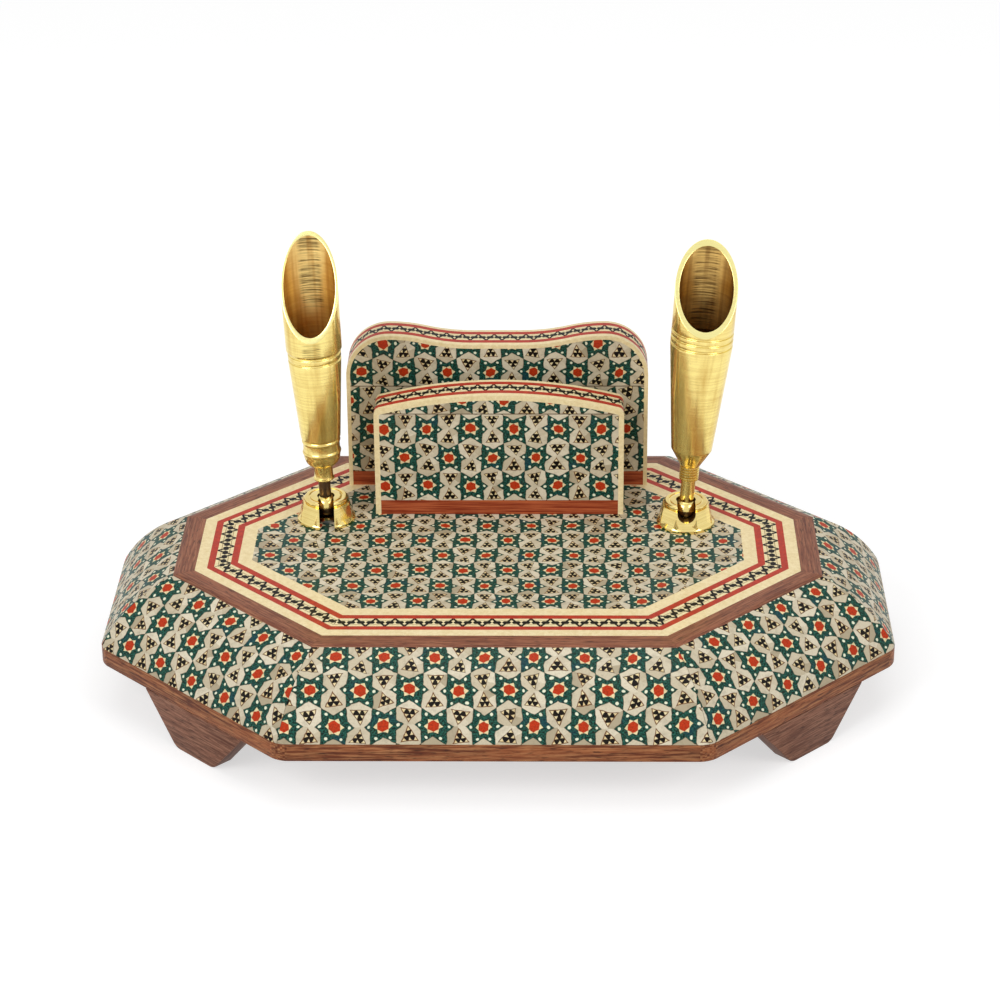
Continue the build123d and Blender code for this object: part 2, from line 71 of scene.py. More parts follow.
def add_node(tree, kind, *values, output=None, **named):
    """Adds a node, such as "Math ADD", and gives the output that is named or the first open one.
    Values fill its open inputs in order. A named value is an input if its name has a capital and
    a setting if not. A value is a number, a vector, a colour in hex or another node's output."""
    kind, *mode = kind.split()
    node = tree.nodes.new(kind if kind.startswith("Node") else "ShaderNode" + kind)
    for word in mode:
        setattr(node, "data_type" if kind == "Mix" else "operation", word)
    for name in [name for name in named if name[0].islower()]:
        setattr(node, name, named.pop(name))
    given = list(zip([socket for socket in node.inputs if socket.enabled], values))
    given += [(node.inputs[name.replace("_", " ")], value) for name, value in named.items()]
    for socket, value in given:
        if isinstance(value, bpy.types.NodeSocket):
            tree.links.new(value, socket)
        else:
            socket.default_value = linear(value) if isinstance(value, str) else value
    if output:
        return node.outputs[output]
    return next((socket for socket in node.outputs if socket.enabled), None)


def new_material(name):
    """An empty material, and what adds a node to it."""
    material = bpy.data.materials.new(name)
    material.use_nodes = True
    material.node_tree.nodes.clear()
    return material, partial(add_node, material.node_tree)


def seen_directly(add):
    """1 where a camera, glossy or transmitted ray looks, else 0."""
    seen = add("LightPath", output="Is Camera Ray")
    for ray in ("Is Glossy Ray", "Is Transmission Ray"):
        seen = add("Math MAXIMUM", seen, add("LightPath", output=ray))
    return seen


table_size = 8.0
table_white = "#bdbdbd"
table_glow = 0.6

bpy.ops.object.select_all(action="DESELECT")
bpy.ops.mesh.primitive_plane_add(size=table_size)
table_top = bpy.context.object
table_top.name = "table_top"
card, add = new_material("matt white card")
paper = add("BsdfDiffuse", Color=table_white)
unlit = add("Emission", Color="#000000", Strength=0)
glow = add("Emission", Color="#ffffff", Strength=table_glow)
lit = add("MixShader", seen_directly(add), unlit, glow)
add("OutputMaterial", add("AddShader", paper, lit))
table_top.data.materials.append(card)

# Studio light: a wide soft box above and to the left, a smaller one on the right, a weak one
# overhead, and a pale room. Each lamp has its place, its size in metres and its power in watts.
lamps = {
    "soft_box_left": ((-1.0, -1.1, 1.0), 1.0, 14.0),
    "soft_box_right": ((1.2, -0.9, 0.9), 0.8, 9.0),
    "soft_box_above": ((0.0, 0.2, 1.9), 1.6, 8.5),
}
lamp_target = Vector((0, 0, 0.05))
room_light = 0.44
backdrop_light = 0.9

for lamp_name, (place, size, power) in lamps.items():
    aim = (lamp_target - Vector(place)).to_track_quat("-Z", "Y").to_euler()
    bpy.ops.object.light_add(type="AREA", location=place, rotation=aim)
    lamp = bpy.context.object
    lamp.name = lamp_name
    lamp.data.shape = "SQUARE"
    lamp.data.size = size
    lamp.data.energy = power

room = bpy.data.worlds.new("pale room")
bpy.context.scene.world = room
room.use_nodes = True
room.node_tree.nodes.clear()
add = partial(add_node, room.node_tree)
sky = add("Background", Color="#ffffff", Strength=room_light)
backdrop = add("Background", Color="#ffffff", Strength=backdrop_light)
add("OutputWorld", add("MixShader", seen_directly(add), sky, backdrop))
bpy.context.scene.view_settings.view_transform = "Standard"


# Feet: four small tapered boards of walnut, sawn, sanded and screwed under the bottom board,
# one below each diagonal side. Oiled walnut is a mid brown with darker bands and short pores.
def start(obj_name):
    """Names the new primitive and takes it as the piece to work on."""
    piece = bpy.context.object
    piece.name = obj_name
    piece.data.name = obj_name
    return piece


def clear():
    """Drops every selection, so that an operator acts only on what comes next."""
    if bpy.context.object and bpy.context.object.mode != "OBJECT":
        bpy.ops.object.mode_set(mode="OBJECT")
    bpy.ops.object.select_all(action="DESELECT")


def take(piece):
    """Makes one piece the selected and active one."""
    clear()
    piece.select_set(True)
    bpy.context.view_layer.objects.active = piece


def pick(piece, kind, test):
    """Opens a piece for editing with the faces, edges or points that pass a test selected."""
    take(piece)
    bpy.ops.object.mode_set(mode="EDIT")
    bpy.ops.mesh.select_mode(type=kind)
    bpy.ops.mesh.select_all(action="DESELECT")
    bpy.ops.object.mode_set(mode="OBJECT")
    mesh = piece.data
    at = [v.co / mm for v in mesh.vertices]
    if kind == "FACE":
        for face in mesh.polygons:
            face.select = bool(test(face.center / mm, face.normal))
    elif kind == "EDGE":
        for edge in mesh.edges:
            edge.select = bool(test(at[edge.vertices[0]], at[edge.vertices[1]]))
    else:
        for point in mesh.vertices:
            point.select = bool(test(at[point.index]))
    bpy.ops.object.mode_set(mode="EDIT")


def close(piece):
    """Leaves edit mode."""
    bpy.ops.object.mode_set(mode="OBJECT")
    return piece


def saw(piece, point, normal):
    """Cuts a closed piece along a plane, in mm, and takes off what the normal looks at."""
    take(piece)
    bpy.ops.object.mode_set(mode="EDIT")
    bpy.ops.mesh.select_all(action="SELECT")
    bpy.ops.mesh.bisect(
        plane_co=[v * mm for v in point],
        plane_no=normal,
        use_fill=True,
        clear_outer=True,
        threshold=1e-7,
    )
    return close(piece)


def block(obj_name, low, high):
    """A rectangular blank between two corners, in millimetres."""
    clear()
    bpy.ops.mesh.primitive_cube_add(
        size=1,
        location=[(a + b) / 2 * mm for a, b in zip(low, high)],
        scale=[(b - a) * mm for a, b in zip(low, high)],
    )
    piece = start(obj_name)
    bpy.ops.object.transform_apply(location=True, rotation=True, scale=True)
    return piece


def ease(piece, width, segments=2, angle=30.0):
    """Rounds the sharp edges of a finished piece, as sandpaper or a polishing wheel does."""
    take(piece)
    bevel = piece.modifiers.new("eased edges", "BEVEL")
    bevel.width = width * mm
    bevel.segments = segments
    bevel.limit_method = "ANGLE"
    bevel.angle_limit = math.radians(angle)
    bevel.use_clamp_overlap = True
    bpy.ops.object.modifier_apply(modifier=bevel.name)
    bpy.ops.object.shade_smooth_by_angle(angle=math.radians(35))
    return piece


def turn_to(piece, angle):
    """Turns a piece about the holder's upright middle axis, into its place."""
    take(piece)
    piece.rotation_euler = (0, 0, math.radians(angle))
    bpy.ops.object.transform_apply(location=True, rotation=True, scale=True)
    return piece


def finish_piece(piece, material, slot_name, body, *replaced):
    """Gives a piece its finish and says what it rides on and stands for."""
    piece.data.materials.clear()
    piece.data.materials.append(material)
    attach(piece, body)
    if replaced:
        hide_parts(*replaced)


def map_layer(piece):
    """The piece's own flat map, which its material reads."""
    layer = piece.data.uv_layers.active or piece.data.uv_layers.new(name="lay")
    layer.name = "lay"
    return layer


def lay_map(piece, lay):
    """Lays the map: lay gives (along, across) in mm for a point and its face's normal."""
    mesh = piece.data
    layer = map_layer(piece)
    for face in mesh.polygons:
        for loop in face.loop_indices:
            at = mesh.vertices[mesh.loops[loop].vertex_index].co / mm
            layer.data[loop].uv = lay(at, face.normal)


def follow_edges(at, normal):
    """Grain that runs along every edge face, and along X on flat faces."""
    if abs(normal.z) > 0.7:
        return (at.x, at.y)
    side = Vector((-normal.y, normal.x)).normalized()
    return (at.x * side.x + at.y * side.y, at.z)


def walnut_finish(name, dark, middle, light, rough):
    """Walnut: bands a few mm wide along the grain, fine fibres and short dark pores."""
    band_length, band_width = 45, 2.6
    fibre_length, fibre_width = 14, 0.7
    pore_length, pore_width = 4.5, 0.45
    material, add = new_material(name)
    lay = add("UVMap", uv_map="lay")
    bands = add("Mapping", lay, Scale=(1 / band_length, 1 / band_width, 1))
    bands = add("TexNoise", bands, Scale=1, Detail=4, Roughness=0.6, Distortion=0.8)
    fibres = add("Mapping", lay, Scale=(1 / fibre_length, 1 / fibre_width, 1))
    fibres = add("TexNoise", fibres, Scale=1, Detail=3, Roughness=0.65)
    pores = add("Mapping", lay, Location=(3, 7, 0), Scale=(1 / pore_length, 1 / pore_width, 1))
    pores = add("TexNoise", pores, Scale=1, Roughness=0.55)
    wood = add("Mix RGBA", add("MapRange", bands, 0.36, 0.62), dark, middle)
    wood = add("Mix RGBA", add("MapRange", fibres, 0.45, 0.7, 0, 0.8), wood, light)
    wood = add("Mix RGBA", add("MapRange", fibres, 0.5, 0.32, 0, 0.6), wood, dark)
    wood = add("Mix RGBA", add("MapRange", pores, 0.56, 0.68, 0, 0.85), wood, "#33190f")
    shader = add(
        "BsdfPrincipled",
        Base_Color=wood,
        Roughness=rough,
        Normal=add("Bump", Strength=0.4, Distance=-0.15 * mm, Height=pores),
        Specular_IOR_Level=0.18,
        Coat_Weight=0.06,
        Coat_Roughness=0.3,
    )
    add("OutputMaterial", shader)
    return material


walnut = walnut_finish("oiled walnut", "#5a2a17", "#9a5935", "#c08658", 0.5)
foot_walnut = walnut_finish("oiled walnut of the feet", "#5b3526", "#895c48", "#aa7c63", 0.55)

top_half_width = 110.4
top_half_depth = 73.25
top_corner_cut = 50.7
side_spread = 26.5
foot_height = 17.1
foot_top_length = 51.0
foot_bottom_length = 20.0
foot_thickness = 7.0
foot_corner_radius = 4.5
foot_corner_setback = 0.443
foot_shifts = {5: 2.8, 7: 4.2}
quarter = math.sqrt(0.5)
top_half_diagonal = (top_half_width + top_half_depth - top_corner_cut) * quarter
side_names = ("right", "rear_right", "rear", "rear_left", "left", "front_left", "front", "front_right")
diagonals = (1, 3, 5, 7)
side_distances = (top_half_width, top_half_diagonal, top_half_depth, top_half_diagonal) * 2


def corner(index, out):
    """Where a side meets the next one, with every side moved out by a distance."""
    near = side_distances[index % 8] + out
    far = side_distances[(index + 1) % 8] + out
    a = math.radians(45 * index)
    b = math.radians(45 * (index + 1))
    x = (near * math.sin(b) - far * math.sin(a)) / quarter
    y = (far * math.cos(a) - near * math.cos(b)) / quarter
    return (x, y)


def along_side(index, at):
    """How far along its side a point lies, counted from the side's middle line."""
    a = math.radians(45 * index)
    return -at[0] * math.sin(a) + at[1] * math.cos(a)


def side_ends(index, out):
    """Where a side starts and ends along itself, with every side moved out by a distance."""
    return [along_side(index, corner(i, out)) for i in (index - 1, index)]


for index in diagonals:
    outer = side_distances[index] + side_spread
    middle = sum(side_ends(index, side_spread)) / 2 + foot_shifts.get(index, 0)
    half = foot_top_length / 2
    low = (outer - foot_thickness, middle - half, 0)
    high = (outer, middle + half, foot_height)
    foot = block(f"foot_{side_names[index]}_wood", low, high)
    slant = Vector((0, foot_height, -(foot_top_length - foot_bottom_length) / 2)).normalized()
    for way in (-1, 1):
        saw(foot, (outer, middle + way * half, foot_height), (0, way * slant.y, slant.z))
    pick(foot, "EDGE", lambda a, b: a.z + b.z < 1 and abs(a.y - b.y) < 1)
    bpy.ops.mesh.bevel(offset=foot_corner_radius * foot_corner_setback * mm, segments=6)
    close(foot)
    ease(foot, 0.35)
    lay_map(foot, lambda at, normal: (at.y, at.z) if abs(normal.x) > 0.5 else (at.y, at.x))
    turn_to(foot, 45 * index)
    finish_piece(foot, foot_walnut, "walnut", "stand", f"foot_{side_names[index]}")


# Bottom board: eight-sided walnut, 6.5 mm thick, with rounded corners and edges broken with
# sandpaper. It carries the curved sides.
board_thickness = 6.5
board_corner_radius = 8.0
board_top = foot_height + board_thickness
mitre_angle = math.radians(22.5)

board = block(
    "bottom_board",
    (-top_half_width - side_spread, -top_half_depth - side_spread, foot_height),
    (top_half_width + side_spread, top_half_depth + side_spread, board_top),
)
for index in diagonals:
    a = math.radians(45 * index)
    reach = side_distances[index] + side_spread
    outward = (math.cos(a), math.sin(a), 0)
    saw(board, (reach * outward[0], reach * outward[1], foot_height), outward)
pick(board, "EDGE", lambda a, b: abs(a.z - b.z) > 1)
bpy.ops.mesh.bevel(offset=board_corner_radius * math.tan(mitre_angle) * mm, segments=8)
close(board)
ease(board, 0.45, 3)
lay_map(board, follow_edges)
finish_piece(board, walnut, "walnut", "stand", "base_board")


# Curved sides: a thin sheet of khatam, which is slices of glued rods of dyed wood, bone and
# brass wire, bent and glued over each wooden side. Clear lacquer gives it a soft gloss.
side_height = 22.9
side_bulge = 3.3
sheet_thickness = 1.2
top_level = board_top + side_height
side_chord = math.hypot(side_spread, side_height)
side_radius = (side_chord**2 / 4 + side_bulge**2) / (2 * side_bulge)
side_slope = math.atan2(side_height, side_spread)
arc_out = side_spread / 2 - (side_radius - side_bulge) * math.sin(side_slope)
arc_up = top_level - side_height / 2 - (side_radius - side_bulge) * math.cos(side_slope)
arc_start = math.atan2(top_level - arc_up, -arc_out)
arc_end = math.atan2(board_top - arc_up, side_spread - arc_out)

# One repeat of the inlay, at the size it has on the sides. Tip, notch, corner and top outline a
# quarter of the star, and a triangle of nine small ones fills each gap between stars.
star_half_pitch = 8.15
star_row = 12.1
star_tip = (6.3, 0.0)
star_notch = (4.1, 1.7)
star_corner = (4.075, 6.05)
star_top = (0.0, 3.7)
red_hexagon = 1.75
cream_wedge = 2.95
wedge_slope = 0.85
pale_dot_out = 4.6
pale_dot_radius = 0.5
triangle_apex = 0.5
triangle_base = 5.4
triangle_middle = 3.6
triangle_half_base = 2.85
level_mm = 1.667


def edge_line(a, b):
    """The line through two points as (x, y, 1) factors, positive on the star's side of it."""
    nx, ny = b[1] - a[1], a[0] - b[0]
    size = math.hypot(nx, ny)
    nx, ny = nx / size, ny / size
    c = -(nx * a[0] + ny * a[1])
    way = 1 if c > 0 else -1
    return (nx * way, ny * way, c * way)


def star_pattern():
    """The khatam repeat as a node group: a map in mm goes in and the inlay's colour comes out."""
    group = bpy.data.node_groups.new("khatam stars", "ShaderNodeTree")
    group.interface.new_socket("Map", in_out="INPUT", socket_type="NodeSocketVector")
    group.interface.new_socket("Color", in_out="OUTPUT", socket_type="NodeSocketColor")
    add = partial(add_node, group)
    half = (0.5, 0.5, 0.5)

    def inked(distance, sharp=6):
        """1 inside an outline and 0 outside it, with an edge that is a little soft."""
        return add("Math MULTIPLY_ADD", distance, sharp, 0.5, use_clamp=True)

    # the slices are never laid quite true: rows wander by about half a millimetre
    flat = add("VectorMath MULTIPLY", add("NodeGroupInput"), (1, 1, 0))
    moves = []
    for length, reach in ((14, 3.2), (2.2, 0.75)):
        drift = add("TexNoise", flat, Scale=1 / length, Detail=1, output="Color")
        drift = add("VectorMath SUBTRACT", drift, half)
        moves.append(add("VectorMath MULTIPLY", drift, (reach, reach, 0)))
    point = add("VectorMath ADD", flat, add("VectorMath ADD", *moves))

    # the nearest star, where every second row is shifted by half a pitch
    pitch = (2 * star_half_pitch, 2 * star_row, 1)
    step = (star_half_pitch, star_row, 0)
    even = add("VectorMath SNAP", add("VectorMath ADD", point, step), pitch)
    odd = add("VectorMath ADD", add("VectorMath SNAP", point, pitch), step)
    off = add("VectorMath ABSOLUTE", add("VectorMath SUBTRACT", point, even))
    share = add("VectorMath DOT_PRODUCT", off, (1 / star_half_pitch, 1 / star_row, 0))
    middle = add("Mix VECTOR", add("Math GREATER_THAN", share, 1), even, odd)
    local = add("VectorMath SUBTRACT", point, middle)
    local = add("VectorMath MULTIPLY", local, (1, 1, 0))
    folded = add("VectorMath ADD", add("VectorMath ABSOLUTE", local), (0, 0, 1))

    # the star's outline
    outline = (star_tip, star_notch, star_corner, star_top)
    tip_line, notch_line, top_line = [
        add("VectorMath DOT_PRODUCT", folded, edge_line(a, b)) for a, b in zip(outline, outline[1:])
    ]
    inside = add("Math MINIMUM", top_line, add("Math MAXIMUM", tip_line, notch_line))

    # inside the star: red middle, six cream wedges round it and six pale dots
    along_0 = add("VectorMath DOT_PRODUCT", folded, (1, 0, 0))
    across_0 = add("VectorMath DOT_PRODUCT", folded, (0, 1, 0))
    along_60 = add("VectorMath DOT_PRODUCT", folded, (0.5, 0.866, 0))
    across_60 = add("Math ABSOLUTE", add("VectorMath DOT_PRODUCT", folded, (-0.866, 0.5, 0)))
    along = add("Math MAXIMUM", along_0, along_60)
    across = add("Mix FLOAT", add("Math GREATER_THAN", along_60, along_0), across_0, across_60)
    hexagon = add("Math SUBTRACT", red_hexagon, along)
    wedge = add("Math MULTIPLY", add("Math SUBTRACT", cream_wedge, along), wedge_slope)
    wedge = add("Math SUBTRACT", wedge, across)
    beyond = add("Math SUBTRACT", along, pale_dot_out)
    far = add("Math MULTIPLY", beyond, beyond)
    far = add("Math SQRT", add("Math ADD", far, add("Math MULTIPLY", across, across)))
    pale_dot = add("Math SUBTRACT", pale_dot_radius, far)

    # between stars: a triangle of nine small ones on pale patches, each a little turned
    signed = add("VectorMath SIGN", local)
    sideways = add("VectorMath MULTIPLY", signed, (star_half_pitch, 0, 0))
    upward = add("VectorMath MULTIPLY", signed, (0, star_row, 0))
    to_touch = add("Mix VECTOR", add("Math GREATER_THAN", top_line, 0), upward, sideways)
    tile_at = add("VectorMath SUBTRACT", local, to_touch)
    tile_sign = add("VectorMath DOT_PRODUCT", add("VectorMath SIGN", tile_at), (0, 1, 0))
    touch = add("VectorMath ADD", middle, to_touch)
    tile_seed = add("VectorMath ADD", touch, add("CombineXYZ", Z=tile_sign))
    chance = add("VectorMath SNAP", add("VectorMath ADD", tile_seed, half), (1, 1, 1))
    chance = add("TexWhiteNoise", chance)
    aside = add("VectorMath DOT_PRODUCT", tile_at, (1, 0, 0))
    up = add("Math ABSOLUTE", add("VectorMath DOT_PRODUCT", tile_at, (0, 1, 0)))
    tile = add(
        "VectorRotate",
        add("CombineXYZ", aside, up),
        Center=(0, triangle_middle, 0),
        Angle=add("Math MULTIPLY", add("Math SUBTRACT", chance, 0.5), 0.5),
        rotation_type="Z_AXIS",
    )
    tile = add("VectorMath ADD", add("VectorMath MULTIPLY", tile, (1, 1, 0)), (0, 0, 1))

    # a point's levels above the triangle's three sides, 3 in all, so that whole numbers part the
    # small triangles: the dark ones are those whose whole parts add up to 1
    tall = triangle_base - triangle_apex
    slope = triangle_half_base / tall
    lean = 1.5 * slope / triangle_half_base
    drop = -1.5 * slope * triangle_apex / triangle_half_base
    levels = [
        add("VectorMath DOT_PRODUCT", tile, line)
        for line in (
            (0, -3 / tall, 3 * triangle_base / tall),
            (1.5 / triangle_half_base, lean, drop),
            (-1.5 / triangle_half_base, lean, drop),
        )
    ]
    base_level, left_level, right_level = levels
    base_floor, left_floor, right_floor = [add("Math FLOOR", level) for level in levels]
    base_part, left_part, right_part = [add("Math FRACT", level) for level in levels]
    least = add("Math MINIMUM", base_level, add("Math MINIMUM", left_level, right_level))
    floors = add("Math ADD", base_floor, add("Math ADD", left_floor, right_floor))
    dark_one = add("Math LESS_THAN", floors, 1.5)
    # small triangles have rounded outlines: cream shows less than its full cell
    near_edge = add("Math MINIMUM", base_part, add("Math MINIMUM", left_part, right_part))
    near_edge = inked(add("Math SUBTRACT", 0.125, near_edge), 14)
    black_part = add("Math MAXIMUM", dark_one, near_edge)

    # dyed wood in teal, blue and red, cream bone and its speckle
    speckle = add("TexNoise", flat, Scale=1.7, Roughness=0.6)
    patchy = add("TexNoise", flat, Scale=1 / 9)
    teal = add("Mix RGBA", add("MapRange", speckle, 0.38, 0.58), "#265f50", "#0c221c")
    teal = add("Mix RGBA", add("MapRange", patchy, 0.57, 0.7, 0, 0.5), teal, "#163f50")
    red = add("Mix RGBA", add("MapRange", speckle, 0.4, 0.7), "#c03916", "#942a0e")
    cream = add("Mix RGBA", add("MapRange", speckle, 0.3, 0.8), "#efe0b4", "#d6bf86")
    mint = "#e4e6ca"

    # each pale patch has its own shade, by the triangle and the side that it lies on
    left_least = add("Math LESS_THAN", left_level, base_level)
    right_least = add("Math MINIMUM", base_level, left_level)
    right_least = add("Math LESS_THAN", right_level, right_least)
    side = add("Math ADD", left_least, add("Math MULTIPLY", right_least, 2))
    seed = add("CombineXYZ", 0.37, add("Math MULTIPLY", side, 0.71))
    seed = add("VectorMath MULTIPLY", add("VectorMath ADD", tile_seed, seed), (10, 10, 10))
    seed = add("VectorMath SNAP", add("VectorMath ADD", seed, half), (1, 1, 1))
    shade = add("TexWhiteNoise", seed)
    ivory = add("Mix RGBA", shade, "#dcd2ba", "#bfb296")
    greyer = add("Math MULTIPLY", add("Math GREATER_THAN", shade, 0.9), 0.5)
    ivory = add("Mix RGBA", greyer, ivory, "#9a8c72")
    ivory = add("Mix RGBA", add("MapRange", speckle, 0.45, 0.75, 0, 0.3), ivory, "#a2937a")

    black = add("Mix RGBA", add("MapRange", speckle, 0.5, 0.8), "#080403", "#22130b")
    bits = add("Mix RGBA", add("MapRange", shade, 0.5, 1, 0, 0.4), cream, "#c4954f")
    bits = add("Mix RGBA", black_part, bits, black)
    depth = add("Math MULTIPLY", least, level_mm)
    ground = add("Mix RGBA", inked(depth), ivory, bits)
    glue = add("Math ABSOLUTE", add("Math SUBTRACT", depth, 0.05))
    glue = inked(add("Math SUBTRACT", 0.15, glue), 7)
    glue = add("Math MULTIPLY", glue, add("MapRange", chance, 0.15, 0.6, 0.25, 0.9))
    ground = add("Mix RGBA", glue, ground, "#6f4526")

    star = add("Mix RGBA", inked(pale_dot), teal, mint)
    star = add("Mix RGBA", inked(wedge), star, cream)
    star = add("Mix RGBA", inked(hexagon), star, red)
    colour = add("Mix RGBA", inked(inside), ground, star)
    rim = inked(add("Math SUBTRACT", 0.1, add("Math ABSOLUTE", inside)), 8)
    colour = add("Mix RGBA", add("Math MULTIPLY", rim, 0.75), colour, "#2c2616")
    grime = add("TexNoise", flat, Scale=1 / 3, Detail=3, Roughness=0.6)
    colour = add("Mix RGBA", add("MapRange", grime, 0.5, 0.8, 0, 0.3), colour, "#463c22")
    add("NodeGroupOutput", colour)
    return group


khatam_stars = star_pattern()


def khatam_finish(name, star=None, half_pitch=star_half_pitch, row=star_row, upright=False, seam=None):
    """Khatam under lacquer, on the piece's own map. On a flat sheet it is laid by a star's place
    instead, upright or not, at that sheet's half pitch and row. A seam is a level where a second
    sheet starts and how far that sheet is shifted, both in mm of the pattern."""
    material, add = new_material(name)
    where = add("TexCoord", output="Object")
    if not star:
        place = add("UVMap", uv_map="lay")
    else:
        across, upward = star_half_pitch / half_pitch, star_row / row
        shift = (-star[0] * across, -star[1] * upward, 0)
        turn = (math.radians(-90) if upright else 0, 0, 0)
        scale = (across / mm, upward / mm, 1 / mm)
        if upright:
            scale = (across / mm, 1 / mm, upward / mm)
        place = add("Mapping", where, shift, turn, scale)
    if seam:
        seam_level, sheet_shift = seam
        level = add("SeparateXYZ", place, output="Y")
        above = add("Math GREATER_THAN", level, seam_level)
        above = add("CombineXYZ", add("Math MULTIPLY", above, sheet_shift))
        place = add("VectorMath ADD", place, above)
    colour = add("Group", place, node_tree=khatam_stars)
    if seam:
        line = add("Math ABSOLUTE", add("Math SUBTRACT", level, seam_level))
        line = add("MapRange", line, 0.3, 0.12, 0, 0.8)
        colour = add("Mix RGBA", line, colour, "#4a3018")
    waves = add("TexNoise", where, Scale=130)
    shader = add(
        "BsdfPrincipled",
        Base_Color=colour,
        Roughness=0.45,
        Normal=add("Bump", Strength=0.12, Distance=0.6 * mm, Height=waves),
        Specular_IOR_Level=0.08,
        Coat_Weight=0.12,
        Coat_Roughness=0.12,
    )
    add("OutputMaterial", shader)
    return material


def mitre_face(way):
    """Where the mitred end of a side looks: way is -1 at the side's start and 1 at its end."""
    return (-math.sin(mitre_angle), way * math.cos(mitre_angle), 0)


khatam = khatam_finish("lacquered khatam")
star_places = {"front": (-3.1, 5.6), "front_left": (-26.0, 6.6), "front_right": (20.6, 5.4)}
diagonal_stretch = (16.3 / 16.9, 12.1 / 12.0)
spin_steps = 20
arc_spares = (0.12, 0.06)
sheet_spare = 6.0
mitre_gap = 0.08
corner_cuts = (7.5, 15.0, 22.4)
walnut_lip = 1.4

for index, (side_name, distance) in enumerate(zip(side_names, side_distances)):
    ends = side_ends(index, 0)
    reach = side_spread + sheet_spare
    clear()
    radial = (arc_start + arc_spares[0], arc_end - arc_spares[1])
    radius = side_radius - sheet_thickness / 2
    bpy.ops.mesh.primitive_plane_add(size=1)
    sheet = start(f"khatam_sheet_{side_name}")
    sheet.scale = (sheet_thickness * mm, (ends[1] - ends[0] + 2 * reach) * mm, 1)
    sheet.rotation_euler = (0, -radial[0], 0)
    sheet.location = (
        (distance + arc_out + radius * math.cos(radial[0])) * mm,
        (ends[0] + ends[1]) / 2 * mm,
        (arc_up + radius * math.sin(radial[0])) * mm,
    )
    bpy.ops.object.transform_apply(location=True, rotation=True, scale=True)
    bpy.ops.object.mode_set(mode="EDIT")
    bpy.ops.mesh.select_all(action="SELECT")
    bpy.ops.mesh.spin(
        steps=spin_steps,
        angle=radial[0] - radial[1],
        center=((distance + arc_out) * mm, 0, arc_up * mm),
        axis=(0, -1, 0),
    )
    bpy.ops.mesh.select_all(action="SELECT")
    bpy.ops.mesh.remove_doubles(threshold=1e-7)
    bpy.ops.mesh.normals_make_consistent(inside=False)
    close(sheet)
    saw(sheet, (distance + walnut_lip, 0, 0), (-1, 0, 0))
    saw(sheet, (0, 0, board_top), (0, 0, -1))
    for way, end in zip((-1, 1), ends):
        saw(sheet, (distance, end - way * mitre_gap, 0), mitre_face(way))
        inset = side_spread - board_corner_radius
        middle = (distance + inset, end + way * inset * math.tan(mitre_angle))
        for degrees in corner_cuts:
            a = math.radians(degrees)
            outward = (math.cos(a), way * math.sin(a), 0)
            rim = [middle[i] + board_corner_radius * outward[i] for i in (0, 1)]
            saw(sheet, (*rim, 0), outward)
    take(sheet)
    bpy.ops.object.shade_smooth_by_angle(angle=math.radians(20))
    start_x, start_s = star_places.get(side_name, (4.0 + 3.3 * index, 5.6 + 1.1 * index))
    stretch = diagonal_stretch if index % 2 else (1, 1)

    def lay_side(at, normal):
        """The sheet rolled out flat, with a star's middle at (0, 0)."""
        turned = math.atan2(at.z - arc_up, at.x - distance - arc_out)
        down = side_radius * (arc_start - turned)
        return ((at.y - start_x) * stretch[0], (start_s - down) * stretch[1])

    lay_map(sheet, lay_side)
    turn_to(sheet, 45 * index)
    finish_piece(sheet, khatam, "khatam", "stand", f"khatam_{side_name}")

# Inside the case: the sides under the sheets, the panel under the top and the rack's cores are
# plain sawn poplar, pale and dull, and show only at a joint or from below.
grain_length, grain_width = 30, 2
plain_wood, add = new_material("sawn poplar")
grain = (1 / mm / grain_length, 1 / mm / grain_width, 1 / mm / grain_width)
grain = add("Mapping", add("TexCoord", output="Object"), Scale=grain)
grain = add("TexNoise", grain, Scale=1, Detail=3, Roughness=0.6)
timber = add("Mix RGBA", add("MapRange", grain, 0.3, 0.7), "#b98f62", "#d6b48a")
relief = add("Bump", Strength=0.3, Distance=0.1 * mm, Height=grain)
add("OutputMaterial", add("BsdfPrincipled", Base_Color=timber, Roughness=0.75, Normal=relief))


def dress(material, *names):
    """Gives CAD nodes their finish."""
    for name in names:
        mesh = nodes[name].data
        if not mesh.materials:
            mesh.materials.append(material)
        for place in range(len(mesh.materials)):
            mesh.materials[place] = material


dress(plain_wood, "top_panel", "front_plate_core", "rear_plate_core")
dress(plain_wood, *[f"stave_{name}" for name in side_names])

# Screws, bolts, washers and nuts are zinc-plated steel, bluish grey with a soft sheen.
# Their blotches are a millimetre or so across.
in_mm = (1 / mm, 1 / mm, 1 / mm)
steel, add = new_material("zinc-plated steel")
blotches = add("Mapping", add("TexCoord", output="Object"), Scale=in_mm)
blotches = add("TexNoise", blotches, Scale=0.8, Detail=3, Roughness=0.6)
plating = add("Mix RGBA", blotches, "#b4b7bb", "#d5d7d8")
add("OutputMaterial", add("BsdfPrincipled", Base_Color=plating, Metallic=1, Roughness=0.34))
dress(steel, "foot_screws", "rack_screws", "socket_bolts", "socket_washers", "socket_nuts")


# Strips round the top, glued into one flush band: walnut at the rim, then cream and red lines
# on each side of a rope of black and cream triangles. All are lacquered with the top.
strip_gap = 0.03
lip_rounding = 0.9
strip_lay_step = 37.0


